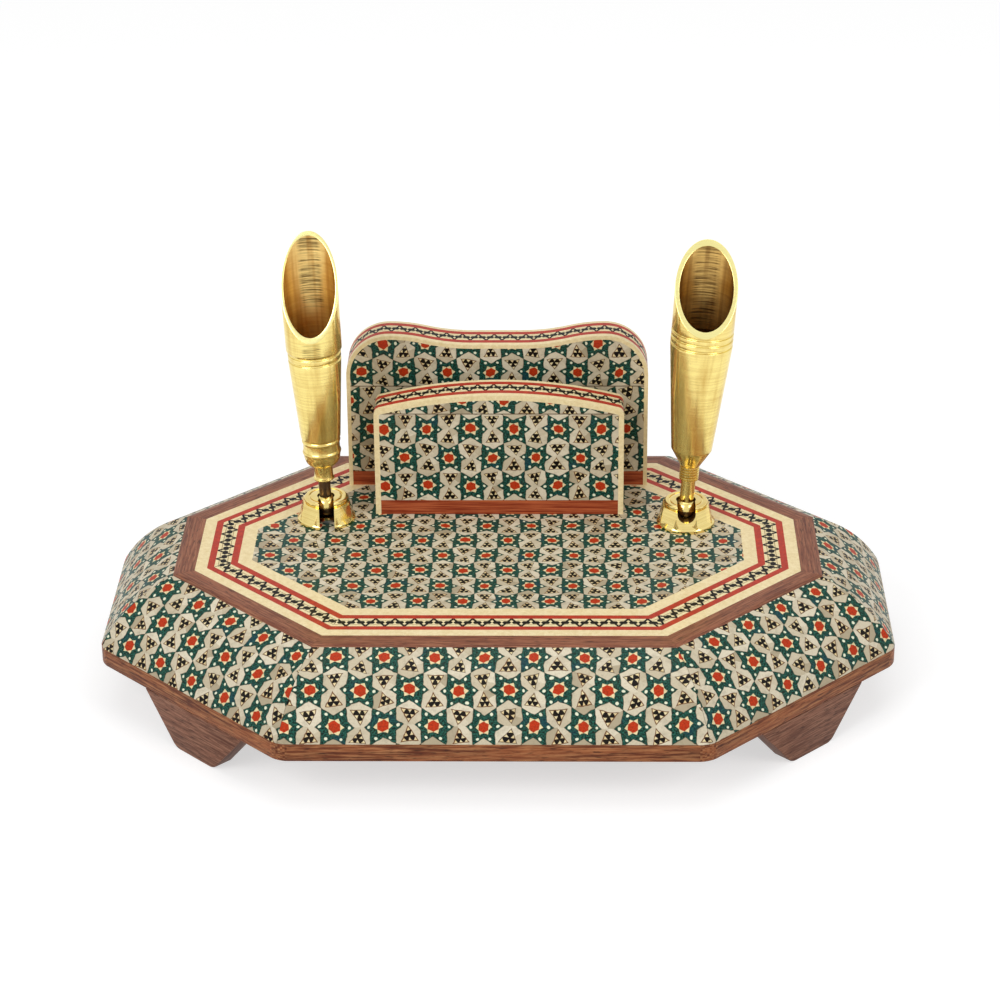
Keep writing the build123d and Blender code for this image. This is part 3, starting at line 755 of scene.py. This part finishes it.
def strip(piece_name, index, inset, width, lip=0.0):
    """One mitred strip of the band on a side, inset from the rim; its lip runs down the slope."""
    distance = side_distances[index] - inset
    ends = side_ends(index, -inset)
    low = (distance - width, ends[0] - lip, top_level - sheet_thickness)
    piece = block(piece_name, low, (distance + lip, ends[1] + lip, top_level))
    for way, end in zip((-1, 1), ends):
        saw(piece, (distance, end - way * strip_gap, 0), mitre_face(way))
    if lip:
        saw(piece, (distance, 0, top_level), (math.cos(arc_start), 0, math.sin(arc_start)))
        at_rim = (2 * distance - 0.1, 2 * top_level - 0.1)
        pick(piece, "EDGE", lambda a, b: a.x + b.x > at_rim[0] and a.z + b.z > at_rim[1])
        bpy.ops.mesh.bevel(offset=lip_rounding * mm, segments=4)
        take(close(piece))
        bpy.ops.object.shade_smooth_by_angle(angle=math.radians(35))
    along, middle = strip_lay_step * index, distance - width / 2
    lay_map(piece, lambda at, normal: (at.y + along, at.x - middle - (at.z - top_level)))
    return turn_to(piece, 45 * index)


lacquered_walnut = walnut_finish("lacquered walnut", "#643524", "#8a523a", "#a87253", 0.42)
walnut_width = 5.8
for index, side_name in enumerate(side_names):
    rim = strip(f"walnut_strip_{side_name}", index, 0, walnut_width, walnut_lip)
    finish_piece(rim, lacquered_walnut, "walnut", "stand", "walnut_frame")


def dyed_finish(name, first, second, coat):
    """Close-grained strip wood, dyed through: faint clouds and fibres under gloss."""
    material, add = new_material(name)
    where = add("Mapping", add("TexCoord", output="Object"), Scale=in_mm)
    cloud = add("TexNoise", where, Scale=0.7, Detail=3, Roughness=0.6)
    fibres = add("TexNoise", where, Scale=2.2, Roughness=0.6)
    tone = add("Math MULTIPLY_ADD", cloud, 0.7, add("Math MULTIPLY", fibres, 0.3))
    shader = add(
        "BsdfPrincipled",
        Base_Color=add("Mix RGBA", add("MapRange", tone, 0.35, 0.65), first, second),
        Roughness=0.45,
        Normal=add("Bump", Strength=0.08, Distance=0.1 * mm, Height=fibres),
        Specular_IOR_Level=0.15,
        Coat_Weight=coat,
        Coat_Roughness=0.12,
    )
    add("OutputMaterial", shader)
    return material


cream_wood = dyed_finish("lacquered hornbeam", "#f3e2b6", "#e2cc98", 0.15)
red_wood = dyed_finish("red-dyed hornbeam", "#c03a1e", "#9d2a1e", 0.12)
dress(cream_wood, "outer_cream_line", "inner_cream_line")
dress(red_wood, "outer_red_line", "inner_red_line")


def rope_finish(name, period):
    """A rope inlay: a black zigzag between cream triangles, its period in mm along the map."""
    half_rope = 2.75
    cell = period / 2
    half_line = 0.8
    lozenge_reach, lozenge_slope, lozenge_height = 1.55, -0.6, 1.0
    joint_level, half_joint = 1.45, 0.12
    far_back = 500 * period
    material, add = new_material(name)
    lay = add("UVMap", uv_map="lay")
    along, across = add("SeparateXYZ", lay), add("SeparateXYZ", lay, output="Y")
    swing = add("Math PINGPONG", add("Math ADD", along, far_back), cell)
    zigzag = add("Math MULTIPLY_ADD", swing, 2 * half_rope / cell, -half_rope)
    diagonal = add("Math ABSOLUTE", add("Math SUBTRACT", across, zigzag))
    diagonal = add("Math SUBTRACT", half_line, diagonal)
    # a black lozenge sits where each diagonal crosses the middle
    level = add("Math ABSOLUTE", across)
    aside = add("Math ABSOLUTE", add("Math SUBTRACT", swing, cell / 2))
    lozenge = add("Math SUBTRACT", lozenge_reach, aside)
    lozenge = add("Math MULTIPLY_ADD", level, lozenge_slope, lozenge)
    lozenge = add("Math MINIMUM", lozenge, add("Math SUBTRACT", lozenge_height, level))
    black_part = add("Math MAXIMUM", diagonal, lozenge)
    black_part = add("Math MULTIPLY_ADD", black_part, 5, 0.5, use_clamp=True)
    # a thin dark line divides the small triangles in each pale figure
    joint = add("Math ABSOLUTE", add("Math SUBTRACT", level, joint_level))
    joint = add("Math SUBTRACT", half_joint, joint)
    joint = add("Math MULTIPLY_ADD", joint, 5, 0.5, use_clamp=True)
    speckle = add("TexNoise", lay, Scale=1.6, Roughness=0.6)
    cream = add("Mix RGBA", add("MapRange", speckle, 0.35, 0.7), "#f4e6bd", "#dcc890")
    cream = add("Mix RGBA", add("Math MULTIPLY", joint, 0.8), cream, "#6d4d24")
    shader = add(
        "BsdfPrincipled",
        Base_Color=add("Mix RGBA", black_part, cream, "#0b0603"),
        Roughness=0.45,
        Specular_IOR_Level=0.08,
        Coat_Weight=0.1,
        Coat_Roughness=0.12,
    )
    add("OutputMaterial", shader)
    return material


rope_inlay = rope_finish("rope inlay of ebony and hornbeam", 6.5)
rope_inset = 12.3
rope_width = 5.5
for index, side_name in enumerate(side_names):
    rope = strip(f"rope_strip_{side_name}", index, rope_inset, rope_width)
    finish_piece(rope, rope_inlay, "rope_inlay", "stand", "rope_band")

# The field inside the strips is one flat sheet of the same khatam, its stars a little smaller.
# It is glued down flush with the strips and lacquered with them.
field_star = (-4.1, -8.25)
field_khatam = khatam_finish("lacquered khatam of the top", field_star, 7.56, 11.55)
dress(field_khatam, "khatam_field")

# Card rack: two upright plates faced with khatam, edged with the same striped strips as the
# top, with a red-brown hardwood rail at the foot of each face.
plate_half_pitch, plate_row = 7.72, 11.05
plate_stars = {"front": (-2.3, top_level + 22.3), "rear": (-0.5, top_level + 44.8)}
plate_seams = {"front": (18.5, -4.6), "rear": (-6.1, 3.0)}
for plate, star in plate_stars.items():
    finish = khatam_finish(
        f"lacquered khatam of the {plate} plate",
        star,
        plate_half_pitch,
        plate_row,
        upright=True,
        seam=plate_seams[plate],
    )
    dress(finish, f"{plate}_plate_khatam_front", f"{plate}_plate_khatam_back")
dress(cream_wood, "front_plate_cream_lines", "rear_plate_cream_lines")
dress(red_wood, "front_plate_red_lines", "rear_plate_red_lines")

# The rope of each plate is bent over its edge from foot to foot, between the red lines.
plate_rope_inlay = rope_finish("rope inlay of the plates", 5.7)
edging_thicknesses = {"front_plate": 1.9, "rear_plate": 1.4}
plate_rope_width = 5.2
bend_step = 1.2


def bend_rope(piece_name, half_width, low, width, thickness, moves):
    """A strip bent along a plate's edge. A move is (run, rise) or (centre x, centre z, degrees)."""
    clear()
    bpy.ops.mesh.primitive_plane_add(size=1)
    piece = start(piece_name)
    middle = low + width / 2
    piece.scale = (thickness * mm, width * mm, 1)
    piece.location = ((-half_width + thickness / 2) * mm, middle * mm, top_level * mm)
    bpy.ops.object.transform_apply(location=True, rotation=True, scale=True)
    lengths = [0.0] * 4
    run = 0.0
    last = Vector((-half_width, 0))
    bpy.ops.object.mode_set(mode="EDIT")
    bpy.ops.mesh.select_mode(type="FACE")
    bpy.ops.mesh.select_all(action="SELECT")
    for move in moves:
        if len(move) == 2:
            shift = (move[0] * mm, 0, move[1] * mm)
            bpy.ops.mesh.extrude_region_move(TRANSFORM_OT_translate={"value": shift})
            travel = math.hypot(*move)
            after = last + Vector(move)
        else:
            centre, swept = Vector(move[:2]), math.radians(move[2])
            arm = last - centre
            travel = abs(swept) * arm.length
            bpy.ops.mesh.spin(
                steps=max(3, round(travel / bend_step)),
                angle=abs(swept),
                center=(centre.x * mm, 0, (top_level + centre.y) * mm),
                axis=(0, -1 if swept > 0 else 1, 0),
            )
            arm.rotate(Matrix.Rotation(-swept, 2))
            after = centre + arm
        bpy.ops.object.mode_set(mode="OBJECT")
        for point in piece.data.vertices[len(lengths) :]:
            at = Vector((point.co.x / mm, point.co.z / mm - top_level))
            if len(move) == 2:
                part = (at - last).dot(Vector(move)) / travel
            else:
                part = (at - centre).angle(last - centre) * (last - centre).length
            lengths.append(run + part)
        bpy.ops.object.mode_set(mode="EDIT")
        run += travel
        last = after
    bpy.ops.mesh.select_all(action="SELECT")
    bpy.ops.mesh.normals_make_consistent(inside=False)
    close(piece)
    bpy.ops.object.shade_smooth_by_angle(angle=math.radians(35))
    layer = map_layer(piece)
    for loop in piece.data.loops:
        across = piece.data.vertices[loop.vertex_index].co.y / mm - low - width / 2
        layer.data[loop.index].uv = (lengths[loop.vertex_index], across)
    return piece


# Each edge is arcs that run into one another: the front plate has two rounded corners and a
# slightly arched top, and the rear plate has two humps with a flat dip between them.
front_half, front_bend = 44.2, 2.4
front_shoulder, front_corner = 38.463, 75.177
front_crown, front_arch = 46.3, 165.8
rear_half, rear_hump, rear_dip, rear_bend = 54.2, 58.7, 55.2, 15.5
rear_round, dip_half = 55.0, 9.0
hump_x = rear_half - rear_bend
wave_run, wave_drop = hump_x - dip_half, rear_hump - rear_dip
wave_radii = (wave_run**2 + wave_drop**2) / (2 * wave_drop)
rear_wave = math.degrees(math.asin(wave_run / wave_radii))
dip_centre = rear_dip + wave_radii - rear_round
rear_shoulder = rear_hump - rear_bend
rope_moves = {
    "front_plate": (
        (0, front_shoulder),
        (front_bend - front_half, front_shoulder, front_corner),
        (0, front_crown - front_arch, 2 * (90 - front_corner)),
        (front_half - front_bend, front_shoulder, front_corner),
        (0, -front_shoulder),
    ),
    "rear_plate": (
        (0, rear_shoulder),
        (-hump_x, rear_shoulder, 90),
        (-hump_x, rear_hump - rear_round, rear_wave),
        (-dip_half, dip_centre, -rear_wave),
        (2 * dip_half, 0),
        (dip_half, dip_centre, -rear_wave),
        (hump_x, rear_hump - rear_round, rear_wave),
        (hump_x, rear_shoulder, 90),
        (0, -rear_shoulder),
    ),
}
rope_starts = {"front_plate": (0.0, front_half, 29.1), "rear_plate": (-1.0, rear_half, 53.5)}
for plate, (plate_middle, half_width, low) in rope_starts.items():
    shape = (half_width, low, plate_rope_width, edging_thicknesses[plate], rope_moves[plate])
    plate_rope = bend_rope(f"{plate}_rope_strip", *shape)
    take(plate_rope)
    plate_rope.location.x = plate_middle * mm
    bpy.ops.object.transform_apply(location=True, rotation=True, scale=True)
    finish_piece(plate_rope, plate_rope_inlay, "rope_inlay", "stand", f"{plate}_rope")

# The rails at the foot of the plates are mahogany, red-brown with fine darker streaks along
# the grain, and lacquered with the rest.
streak_length, streak_width = 22, 0.7
rail_wood, add = new_material("lacquered red-brown mahogany")
streaks = (1 / mm / streak_length, 1 / mm / streak_width, 1 / mm / streak_width)
streaks = add("Mapping", add("TexCoord", output="Object"), Scale=streaks)
streaks = add("TexNoise", streaks, Scale=1, Detail=4, Roughness=0.6)
shader = add(
    "BsdfPrincipled",
    Base_Color=add("Mix RGBA", add("MapRange", streaks, 0.38, 0.62), "#7e2c14", "#b55c36"),
    Roughness=0.45,
    Normal=add("Bump", Strength=0.15, Distance=0.1 * mm, Height=streaks),
    Specular_IOR_Level=0.15,
    Coat_Weight=0.12,
    Coat_Roughness=0.12,
)
add("OutputMaterial", shader)
dress(rail_wood, "front_plate_rails", "rear_plate_rails")


# Sockets: cast brass blocks with eight facets, turned round at top and foot, slotted at the
# front for the neck and polished. A bolt under the top holds each one down on its ball.
def brass_finish(
    name, colours, rough, ring_mm, relief_mm, at=(0, 0, 0), lean=0.0, reflection_streak=0.0, dark_reflections=None
):
    """Brass with tool rings round its axis, and darker streaks along it that are painted reflection. The
    dark marks are painted dark reflection in a band down the middle, broken up like turning marks: half
    the band's width, its lowest and highest level above the ball and its colour."""
    colour, deep = colours
    patch_mm = 30
    material, add = new_material(name)
    where = add("TexCoord", output="Object")
    place = add(
        "Mapping",
        where,
        Location=[v * mm for v in at],
        Rotation=(0, math.radians(lean), 0),
        Scale=(patch_mm * mm, patch_mm * mm, ring_mm * mm),
        vector_type="TEXTURE",
    )
    rings = add("TexNoise", place, Scale=1, Detail=3, Roughness=0.6)
    smudge = add("TexNoise", where, Scale=160, Detail=3, Roughness=0.6)
    metal = add("Mix RGBA", add("MapRange", rings, 0.4, 0.7, 0, 0.35), colour, deep)
    metal = add("Mix RGBA", add("MapRange", smudge, 0.5, 0.8, 0, 0.3), metal, deep)
    # painted reflection: darker streaks along the axis
    if reflection_streak:
        along = add("VectorMath MULTIPLY", place, (11, 11, 0.012))
        streaks = add("TexNoise", along, Scale=1, Roughness=0.55)
        metal = add("Mix RGBA", add("MapRange", streaks, 0.45, 0.72, 0, reflection_streak), metal, deep)
    if dark_reflections:
        # painted dark reflection: a band down the middle of the piece between two levels, broken up like
        # turning marks
        half, low, high, dark = dark_reflections
        level = add("SeparateXYZ", place, output="Z")
        near = add("Math ABSOLUTE", add("SeparateXYZ", place))
        near = add("MapRange", near, half / patch_mm, half / patch_mm / 1.5)
        above = add("MapRange", level, low / ring_mm, (low + 2) / ring_mm)
        below = add("MapRange", level, high / ring_mm, (high - 2) / ring_mm)
        marks = add("TexNoise", place, Scale=1.7, Detail=3, Roughness=0.7)
        dark_reflection_mask = add("Math MULTIPLY", near, add("Math MULTIPLY", above, below))
        dark_reflection_mask = add("Math MULTIPLY", dark_reflection_mask, add("MapRange", marks, 0.46, 0.6, 0, 0.85))
        metal = add("Mix RGBA", dark_reflection_mask, metal, dark)
    shader = add(
        "BsdfPrincipled",
        Base_Color=metal,
        Metallic=1,
        Roughness=add("MapRange", smudge, 0.3, 0.8, rough * 0.85, rough * 1.3),
        Normal=add("Bump", Strength=0.35, Distance=relief_mm * mm, Height=rings),
    )
    add("OutputMaterial", shader)
    return material


def start_point(piece_name):
    """A single point at the origin, open for editing, that an outline is drawn from."""
    clear()
    bpy.ops.mesh.primitive_plane_add(size=mm)
    piece = start(piece_name)
    bpy.ops.object.mode_set(mode="EDIT")
    bpy.ops.mesh.select_mode(type="VERT")
    bpy.ops.mesh.select_all(action="SELECT")
    bpy.ops.mesh.merge(type="CENTER")
    return piece


def draw(outline):
    """Draws an outline of (radius, height) points, in mm, from the point that is selected."""
    last = (0.0, 0.0)
    for count, point in enumerate(outline):
        move = ((point[0] - last[0]) * mm, 0, (point[1] - last[1]) * mm)
        if count:
            bpy.ops.mesh.extrude_region_move(TRANSFORM_OT_translate={"value": move})
        else:
            bpy.ops.transform.translate(value=move)
        last = point


def lathe(piece_name, outline, steps=96):
    """Turns an outline of (radius, height) points, in mm, about the upright axis."""
    piece = start_point(piece_name)
    draw(outline)
    bpy.ops.mesh.select_all(action="SELECT")
    bpy.ops.mesh.spin(steps=steps, angle=2 * math.pi, center=(0, 0, 0), axis=(0, 0, 1))
    bpy.ops.mesh.select_all(action="SELECT")
    bpy.ops.mesh.remove_doubles(threshold=2e-6)
    bpy.ops.mesh.normals_make_consistent(inside=False)
    return close(piece)


def arc_points(centre, radius, first, last, count):
    """Points on an arc of an outline, between two angles in degrees."""
    angles = [math.radians(first + (last - first) * i / count) for i in range(count + 1)]
    return [(centre[0] + radius * math.cos(a), centre[1] + radius * math.sin(a)) for a in angles]


def cut(piece, tool, operation="DIFFERENCE"):
    """Cuts one closed piece with another, which is used up."""
    take(piece)
    cutter = piece.modifiers.new("cut", "BOOLEAN")
    cutter.operation = operation
    cutter.object = tool
    bpy.ops.object.modifier_apply(modifier=cutter.name)
    bpy.data.objects.remove(tool)
    return piece


def seat(piece, at, lean=0.0, turn=0.0, facing=0.0):
    """Leans a piece made at the origin, square to a slot turned by turn, and stands it in place."""
    take(piece)
    turned = Matrix.Rotation(math.radians(turn), 4, "Z")
    leaned = turned @ Matrix.Rotation(math.radians(lean), 4, "Y") @ turned.inverted()
    faced = leaned @ Matrix.Rotation(math.radians(facing), 4, "Z")
    piece.rotation_euler = faced.to_euler()
    piece.location = [v * mm for v in at]
    bpy.ops.object.transform_apply(location=True, rotation=True, scale=True)
    return piece


socket_height = 9.0
socket_foot_chamfer = 1.6
flange_radius = 10.3
slot_length = 20.0
slot_round_share = 0.999
socket_base_apothem = 9.65
socket_top_apothem = 7.6
ball_radius = 4.2
ball_level = 5.4
cup_radius = 4.3
neck_radii = {"left": 2.1, "right": 2.5}
slot_half_widths = {"left": 2.65, "right": 3.2}
slot_turns = {"left": 5.0, "right": 0.0}
mouth_clearance = 1.0
socket_places = {"left": (-61.7, 21.0, top_level), "right": (66.2, 18.0, top_level)}
slot_floors = {"left": -3.2, "right": 3.7}
widest = socket_base_apothem / math.cos(mitre_angle)
foot_radius = widest - socket_foot_chamfer

polished_brass = brass_finish("polished cast brass", ("#f8e294", "#cba04a"), 0.1, 0.5, 0.01)
slot_brass = brass_finish("darkened brass of the slot", ("#6b4a24", "#3b2413"), 0.4, 0.6, 0.02)
for hand, place in socket_places.items():
    clear()
    bpy.ops.mesh.primitive_cone_add(
        vertices=8,
        radius1=widest * mm,
        radius2=socket_top_apothem / math.cos(mitre_angle) * mm,
        depth=socket_height * mm,
        location=(0, 0, socket_height / 2 * mm),
        rotation=(0, 0, mitre_angle),
    )
    socket = start(f"{hand}_socket_brass")
    bpy.ops.object.transform_apply(location=True, rotation=True, scale=True)
    skin = [(0, -1), (foot_radius, -1), (foot_radius, 0), (widest, 1.9), (widest, 7.3)]
    skin += [(7.4, 7.45), (7.4, 7.7), (7.72, 7.85), (7.8, 8.2), (7.72, 8.6), (7.4, 8.9)]
    skin += [(7.2, 9.0), (6.1, 9.0), (6.1, 8.65), (5.6, 8.65), (5.6, 9.0), (0, 9.0)]
    cut(socket, lathe("skin", skin), "INTERSECT")
    flange = [(0, 0), (flange_radius, 0), (flange_radius, 1.1), (8.0, 3.5), (0, 3.5)]
    cut(socket, lathe("flange", flange), "UNION")
    mouth_radius = neck_radii[hand] + mouth_clearance
    cup_brow = math.degrees(math.acos(mouth_radius / cup_radius))
    slot_half_width = slot_half_widths[hand]
    cup = [(0, -1), (cup_radius, -1)]
    cup += arc_points((0, ball_level), cup_radius, 0, cup_brow, 12)
    cup += [(mouth_radius, 10), (0, 10)]
    cut(socket, lathe("cup", cup))
    slot_floor = slot_floors[hand]
    slot = block("slot", (-slot_half_width, -slot_length, slot_floor), (slot_half_width, 0, 12))
    pick(slot, "EDGE", lambda a, b: max(a.z, b.z) < slot_floor + 0.01 and abs(a.y - b.y) > 1)
    bpy.ops.mesh.bevel(offset=slot_half_width * slot_round_share * mm, segments=12)
    cut(socket, close(slot))
    ease(socket, 0.14, 2, 25)
    finish_piece(socket, polished_brass, "brass_polished", "stand", f"{hand}_socket")
    socket.data.materials.append(slot_brass)
    for face in socket.data.polygons:
        at = face.center / mm
        in_cup = math.hypot(at.x, at.y) < cup_radius + 0.05 and at.z < 8.8
        in_slot = abs(at.x) < slot_half_width + 0.05 and at.y < 0 and face.normal.y > -0.3
        if (in_cup or in_slot) and abs(face.normal.z) < 0.98:
            face.material_index = 1
    seat(socket, place, facing=slot_turns[hand])
dress(polished_brass, "seat_rings")

# Ball studs: one turned steel piece each, a ball with a neck and a thinner shank that goes up
# into the funnel. The right neck is brass-plated and the rest is blackened, but a band on each
# ball's upper half is given brass as a painted highlight. They swivel in the sockets. Collars are short
# brass sleeves round the shank.
lean = {"left": -2.2, "right": 3.9}
shank_radius = 1.9
bore_radius = 1.95
collar_starts = {"left": 10.4, "right": 12.0}
shank_ends = {"left": 30.6, "right": 27.2}
ball_places = {hand: (at[0], at[1], at[2] + ball_level) for hand, at in socket_places.items()}
# Painted dark reflections down the middle of the funnels, broken up like turning marks: half width,
# lowest and highest level, colour.
outer_dark_reflections = {"left": (3.6, 60.0, 66.5, "#6b5226"), "right": None}
inner_dark_reflections = {"left": (4.4, 72.0, 100.0, "#4d3c20"), "right": (5.0, 50.0, 98.0, "#4b3319")}
turned_colours = ("#f8e490", "#c29645")
bore_colours = {"left": ("#eccb80", "#b98744"), "right": ("#d3ae66", "#80592b")}
turned_brass = {}
bored_brass = {}
for hand, at in ball_places.items():
    turned_brass[hand] = brass_finish(
        f"turned brass {hand}", turned_colours, 0.19, 0.6, 0.02, at, lean[hand], 0.55, outer_dark_reflections[hand]
    )
    bored_brass[hand] = brass_finish(
        f"bored brass {hand}", bore_colours[hand], 0.36, 0.9, 0.05, at, lean[hand], 0.8, inner_dark_reflections[hand]
    )
# The rims get a paler brass, a painted highlight where they face up to the lamps and the pale room.
highlight_rim_brass = brass_finish("brass of the rims with a painted highlight", ("#fdf3a8", "#f0da86"), 0.2, 0.6, 0.01)
dark_steel, add = new_material("blackened steel")
oil = add("Mapping", add("TexCoord", output="Object"), Scale=in_mm)
oil = add("TexNoise", oil, Scale=0.6, Detail=3, Roughness=0.6)
steel_skin = add("Mix RGBA", oil, "#4a392b", "#75604a")
add("OutputMaterial", add("BsdfPrincipled", Base_Color=steel_skin, Metallic=1, Roughness=0.32))
for hand in ball_places:
    shoulder = collar_starts[hand] - 0.05
    neck_radius = neck_radii[hand]
    neck_angle = math.degrees(math.acos(neck_radius / ball_radius))
    outline = arc_points((0, 0), ball_radius, -90, neck_angle, 40)
    outline[0] = (0, -ball_radius)
    outline += [(neck_radius, shoulder), (shank_radius, shoulder)]
    outline += [(shank_radius, shank_ends[hand]), (0, shank_ends[hand])]
    stud = lathe(f"{hand}_stud_brass", outline, 64)
    take(stud)
    bpy.ops.object.shade_smooth_by_angle(angle=math.radians(30))
    finish_piece(stud, dark_steel, "steel", f"{hand}_stud", f"{hand}_ball_stud")
    stud.data.materials.append(turned_brass[hand])
    for face in stud.data.polygons:
        level = face.center.z / mm
        # a band on the ball's upper half gets brass as a painted highlight; on the right stud the neck
        # and shank are brass too
        if 0.4 < level < 3.6 or (hand == "right" and level > 0.4):
            face.material_index = 1
    seat(stud, ball_places[hand], lean[hand], slot_turns[hand])

rim = 0.9
low, high = collar_starts["left"], 15.9
outline = [(bore_radius, low), (3.3, low), (3.7, low + 0.2), (3.75, low + 0.45), (3.7, low + 0.7)]
outline += [(3.3, low + rim), (3.3, high - rim), (3.75, high), (bore_radius, high)]
outline += [(bore_radius, low)]
left_collar = ease(lathe("left_collar_brass", outline, 64), 0.08)
seat(left_collar, ball_places["left"], lean["left"], slot_turns["left"])
finish_piece(left_collar, turned_brass["left"], "brass_polished", "left_holder", "left_collar")

# The right collar is threaded: a groove runs round it a little over five times. It is wound as
# one long groove and then sawn off square at both ends and bored for the shank.
thread_pitch = 1.0
thread = [(3.45, 0), (3.45, 0.45), (3.1, 0.62), (3.1, 0.83), (3.45, 1.0)]
low, high = collar_starts["right"], 17.3
spare = 1.0
right_collar = start_point("right_collar_brass")
draw([(radius, low - spare + level) for radius, level in thread])
close(right_collar)
winding = right_collar.modifiers.new("winding", "SCREW")
winding.screw_offset = thread_pitch * mm
winding.iterations = 8
winding.steps = winding.render_steps = 48
bpy.ops.object.modifier_apply(modifier=winding.name)
bpy.ops.object.mode_set(mode="EDIT")
bpy.ops.mesh.select_all(action="SELECT")
bpy.ops.mesh.remove_doubles(threshold=1e-7)
bpy.ops.mesh.normals_make_consistent(inside=False)
close(right_collar)
saw(right_collar, (0, 0, low), (0, 0, -1))
saw(right_collar, (0, 0, high), (0, 0, 1))
hole = [(0, 11.5), (bore_radius, 11.5), (bore_radius, 18.0), (0, 18.0)]
cut(right_collar, lathe("hole", hole, 48))
take(right_collar)
bpy.ops.object.shade_smooth_by_angle(angle=math.radians(30))
seat(right_collar, ball_places["right"], lean["right"])
finish_piece(right_collar, turned_brass["right"], "brass_polished", "right_holder", "right_collar")

# Funnels: tapered brass tubes turned from bar, with grooves and beads, their mouths cut off on
# a slant that opens to the front. The bore keeps rougher tool rings than the outside.
groove_height = 0.8
groove_slope = 0.12
rise = 110.0
funnel_feet = {"left": 15.9, "right": 17.3}
bore_floors = {"left": 32.1, "right": 28.7}
lips = {"left": (10.15, 65.7), "right": (10.85, 69.7)}
mouth_angles = {"left": 59.8, "right": 52.6}


def grooves(radius, levels, depth):
    """The outline of shallow turned grooves in a round wall."""
    points = []
    for level in levels:
        top = level + groove_height
        points += [(radius, level), (radius - depth, level + groove_slope)]
        points += [(radius - depth, top - groove_slope), (radius, top)]
    return points


def funnel(hand, wall, bore):
    """A tube turned from its outline, with its slanting mouth cut and its rim closed."""
    floor = bore_floors[hand]
    outline = [(0, floor)] + bore + wall[::-1]
    outline += [(bore_radius, funnel_feet[hand]), (bore_radius, floor - 1), (0, floor - 1)]
    piece = lathe(f"{hand}_funnel_brass", outline, 128)
    a = math.radians(mouth_angles[hand])
    lip = lips[hand]
    take(piece)
    bpy.ops.object.mode_set(mode="EDIT")
    bpy.ops.mesh.select_all(action="SELECT")
    bpy.ops.mesh.bisect(
        plane_co=(0, -lip[0] * mm, lip[1] * mm),
        plane_no=(0, -math.sin(a), math.cos(a)),
        clear_outer=True,
        threshold=1e-7,
    )
    bpy.ops.mesh.select_mode(type="EDGE")
    bpy.ops.mesh.select_all(action="DESELECT")
    bpy.ops.mesh.select_non_manifold()
    bpy.ops.mesh.bridge_edge_loops()
    bpy.ops.mesh.select_all(action="SELECT")
    bpy.ops.mesh.normals_make_consistent(inside=False)
    close(piece)
    return ease(piece, 0.16, 3, 28)


def finish_funnel(piece, hand):
    """Gives the bore its own finish and the rim a paler brass as a painted highlight, leans the funnel
    and says what it rides on.
    """
    finish_piece(piece, turned_brass[hand], "brass_brushed", f"{hand}_holder", f"{hand}_funnel")
    piece.data.materials.append(bored_brass[hand])
    piece.data.materials.append(highlight_rim_brass)
    a = math.radians(mouth_angles[hand])
    mouth = Vector((0, -math.sin(a), math.cos(a)))
    floor = bore_floors[hand]
    for face in piece.data.polygons:
        at, looks = face.center / mm, face.normal
        inward = at.x * looks.x + at.y * looks.y < 0
        in_bore = at.z > floor - 0.1 and inward and abs(looks.z) < 0.3
        on_floor = abs(at.z - floor) < 0.1 and looks.z > 0.97
        # the rim, facing up and out, gets the paler brass of the painted highlight
        if at.z > floor + 1 and looks.dot(mouth) > 0.95:
            face.material_index = 2
        elif in_bore or on_floor:
            face.material_index = 1
    seat(piece, ball_places[hand], lean[hand], slot_turns[hand])


# The left wall starts with a rounded foot, an ellipse's quarter, and has two beads and two grooves.
foot_across, foot_up, waist, beads = 3.2, 4.7, 6.5, (20.6, 24.9)
left_wall = [(3.3, funnel_feet["left"])]
for degrees in range(9, 91, 9):
    a = math.radians(degrees)
    left_wall.append((3.3 + foot_across * math.sin(a), beads[0] - foot_up * math.cos(a)))
for bead in beads:
    left_wall += [(waist, bead)] if bead > beads[0] else []
    left_wall += [(6.72, bead + 0.25), (6.85, bead + 0.8), (6.72, bead + 1.35), (waist, bead + 1.6)]
left_wall += [(7.0, 27.1)]
left_wall += grooves(9.3, (56.8, 59.2), 0.4)
left_wall += [(9.75, 60.8), (lips["left"][0], rise)]
left_bore = [(6.2, bore_floors["left"]), (8.55, 56.8), (9.4, rise)]
finish_funnel(funnel("left", left_wall, left_bore), "left")

# The right wall is a plain cone up to three grooves, and straight above them.
lip_radius = lips["right"][0]
right_wall = [(3.45, funnel_feet["right"]), (7.05, 23.45), (7.2, 23.75), (7.24, 24.2)]
right_wall += [(lip_radius, 63.2)] + grooves(lip_radius, (63.9, 66.3, 68.5), 0.5)
right_wall += [(lip_radius, rise)]
right_bore = [(5.7, bore_floors["right"]), (9.35, 63.2), (9.35, rise)]
finish_funnel(funnel("right", right_wall, right_bore), "right")
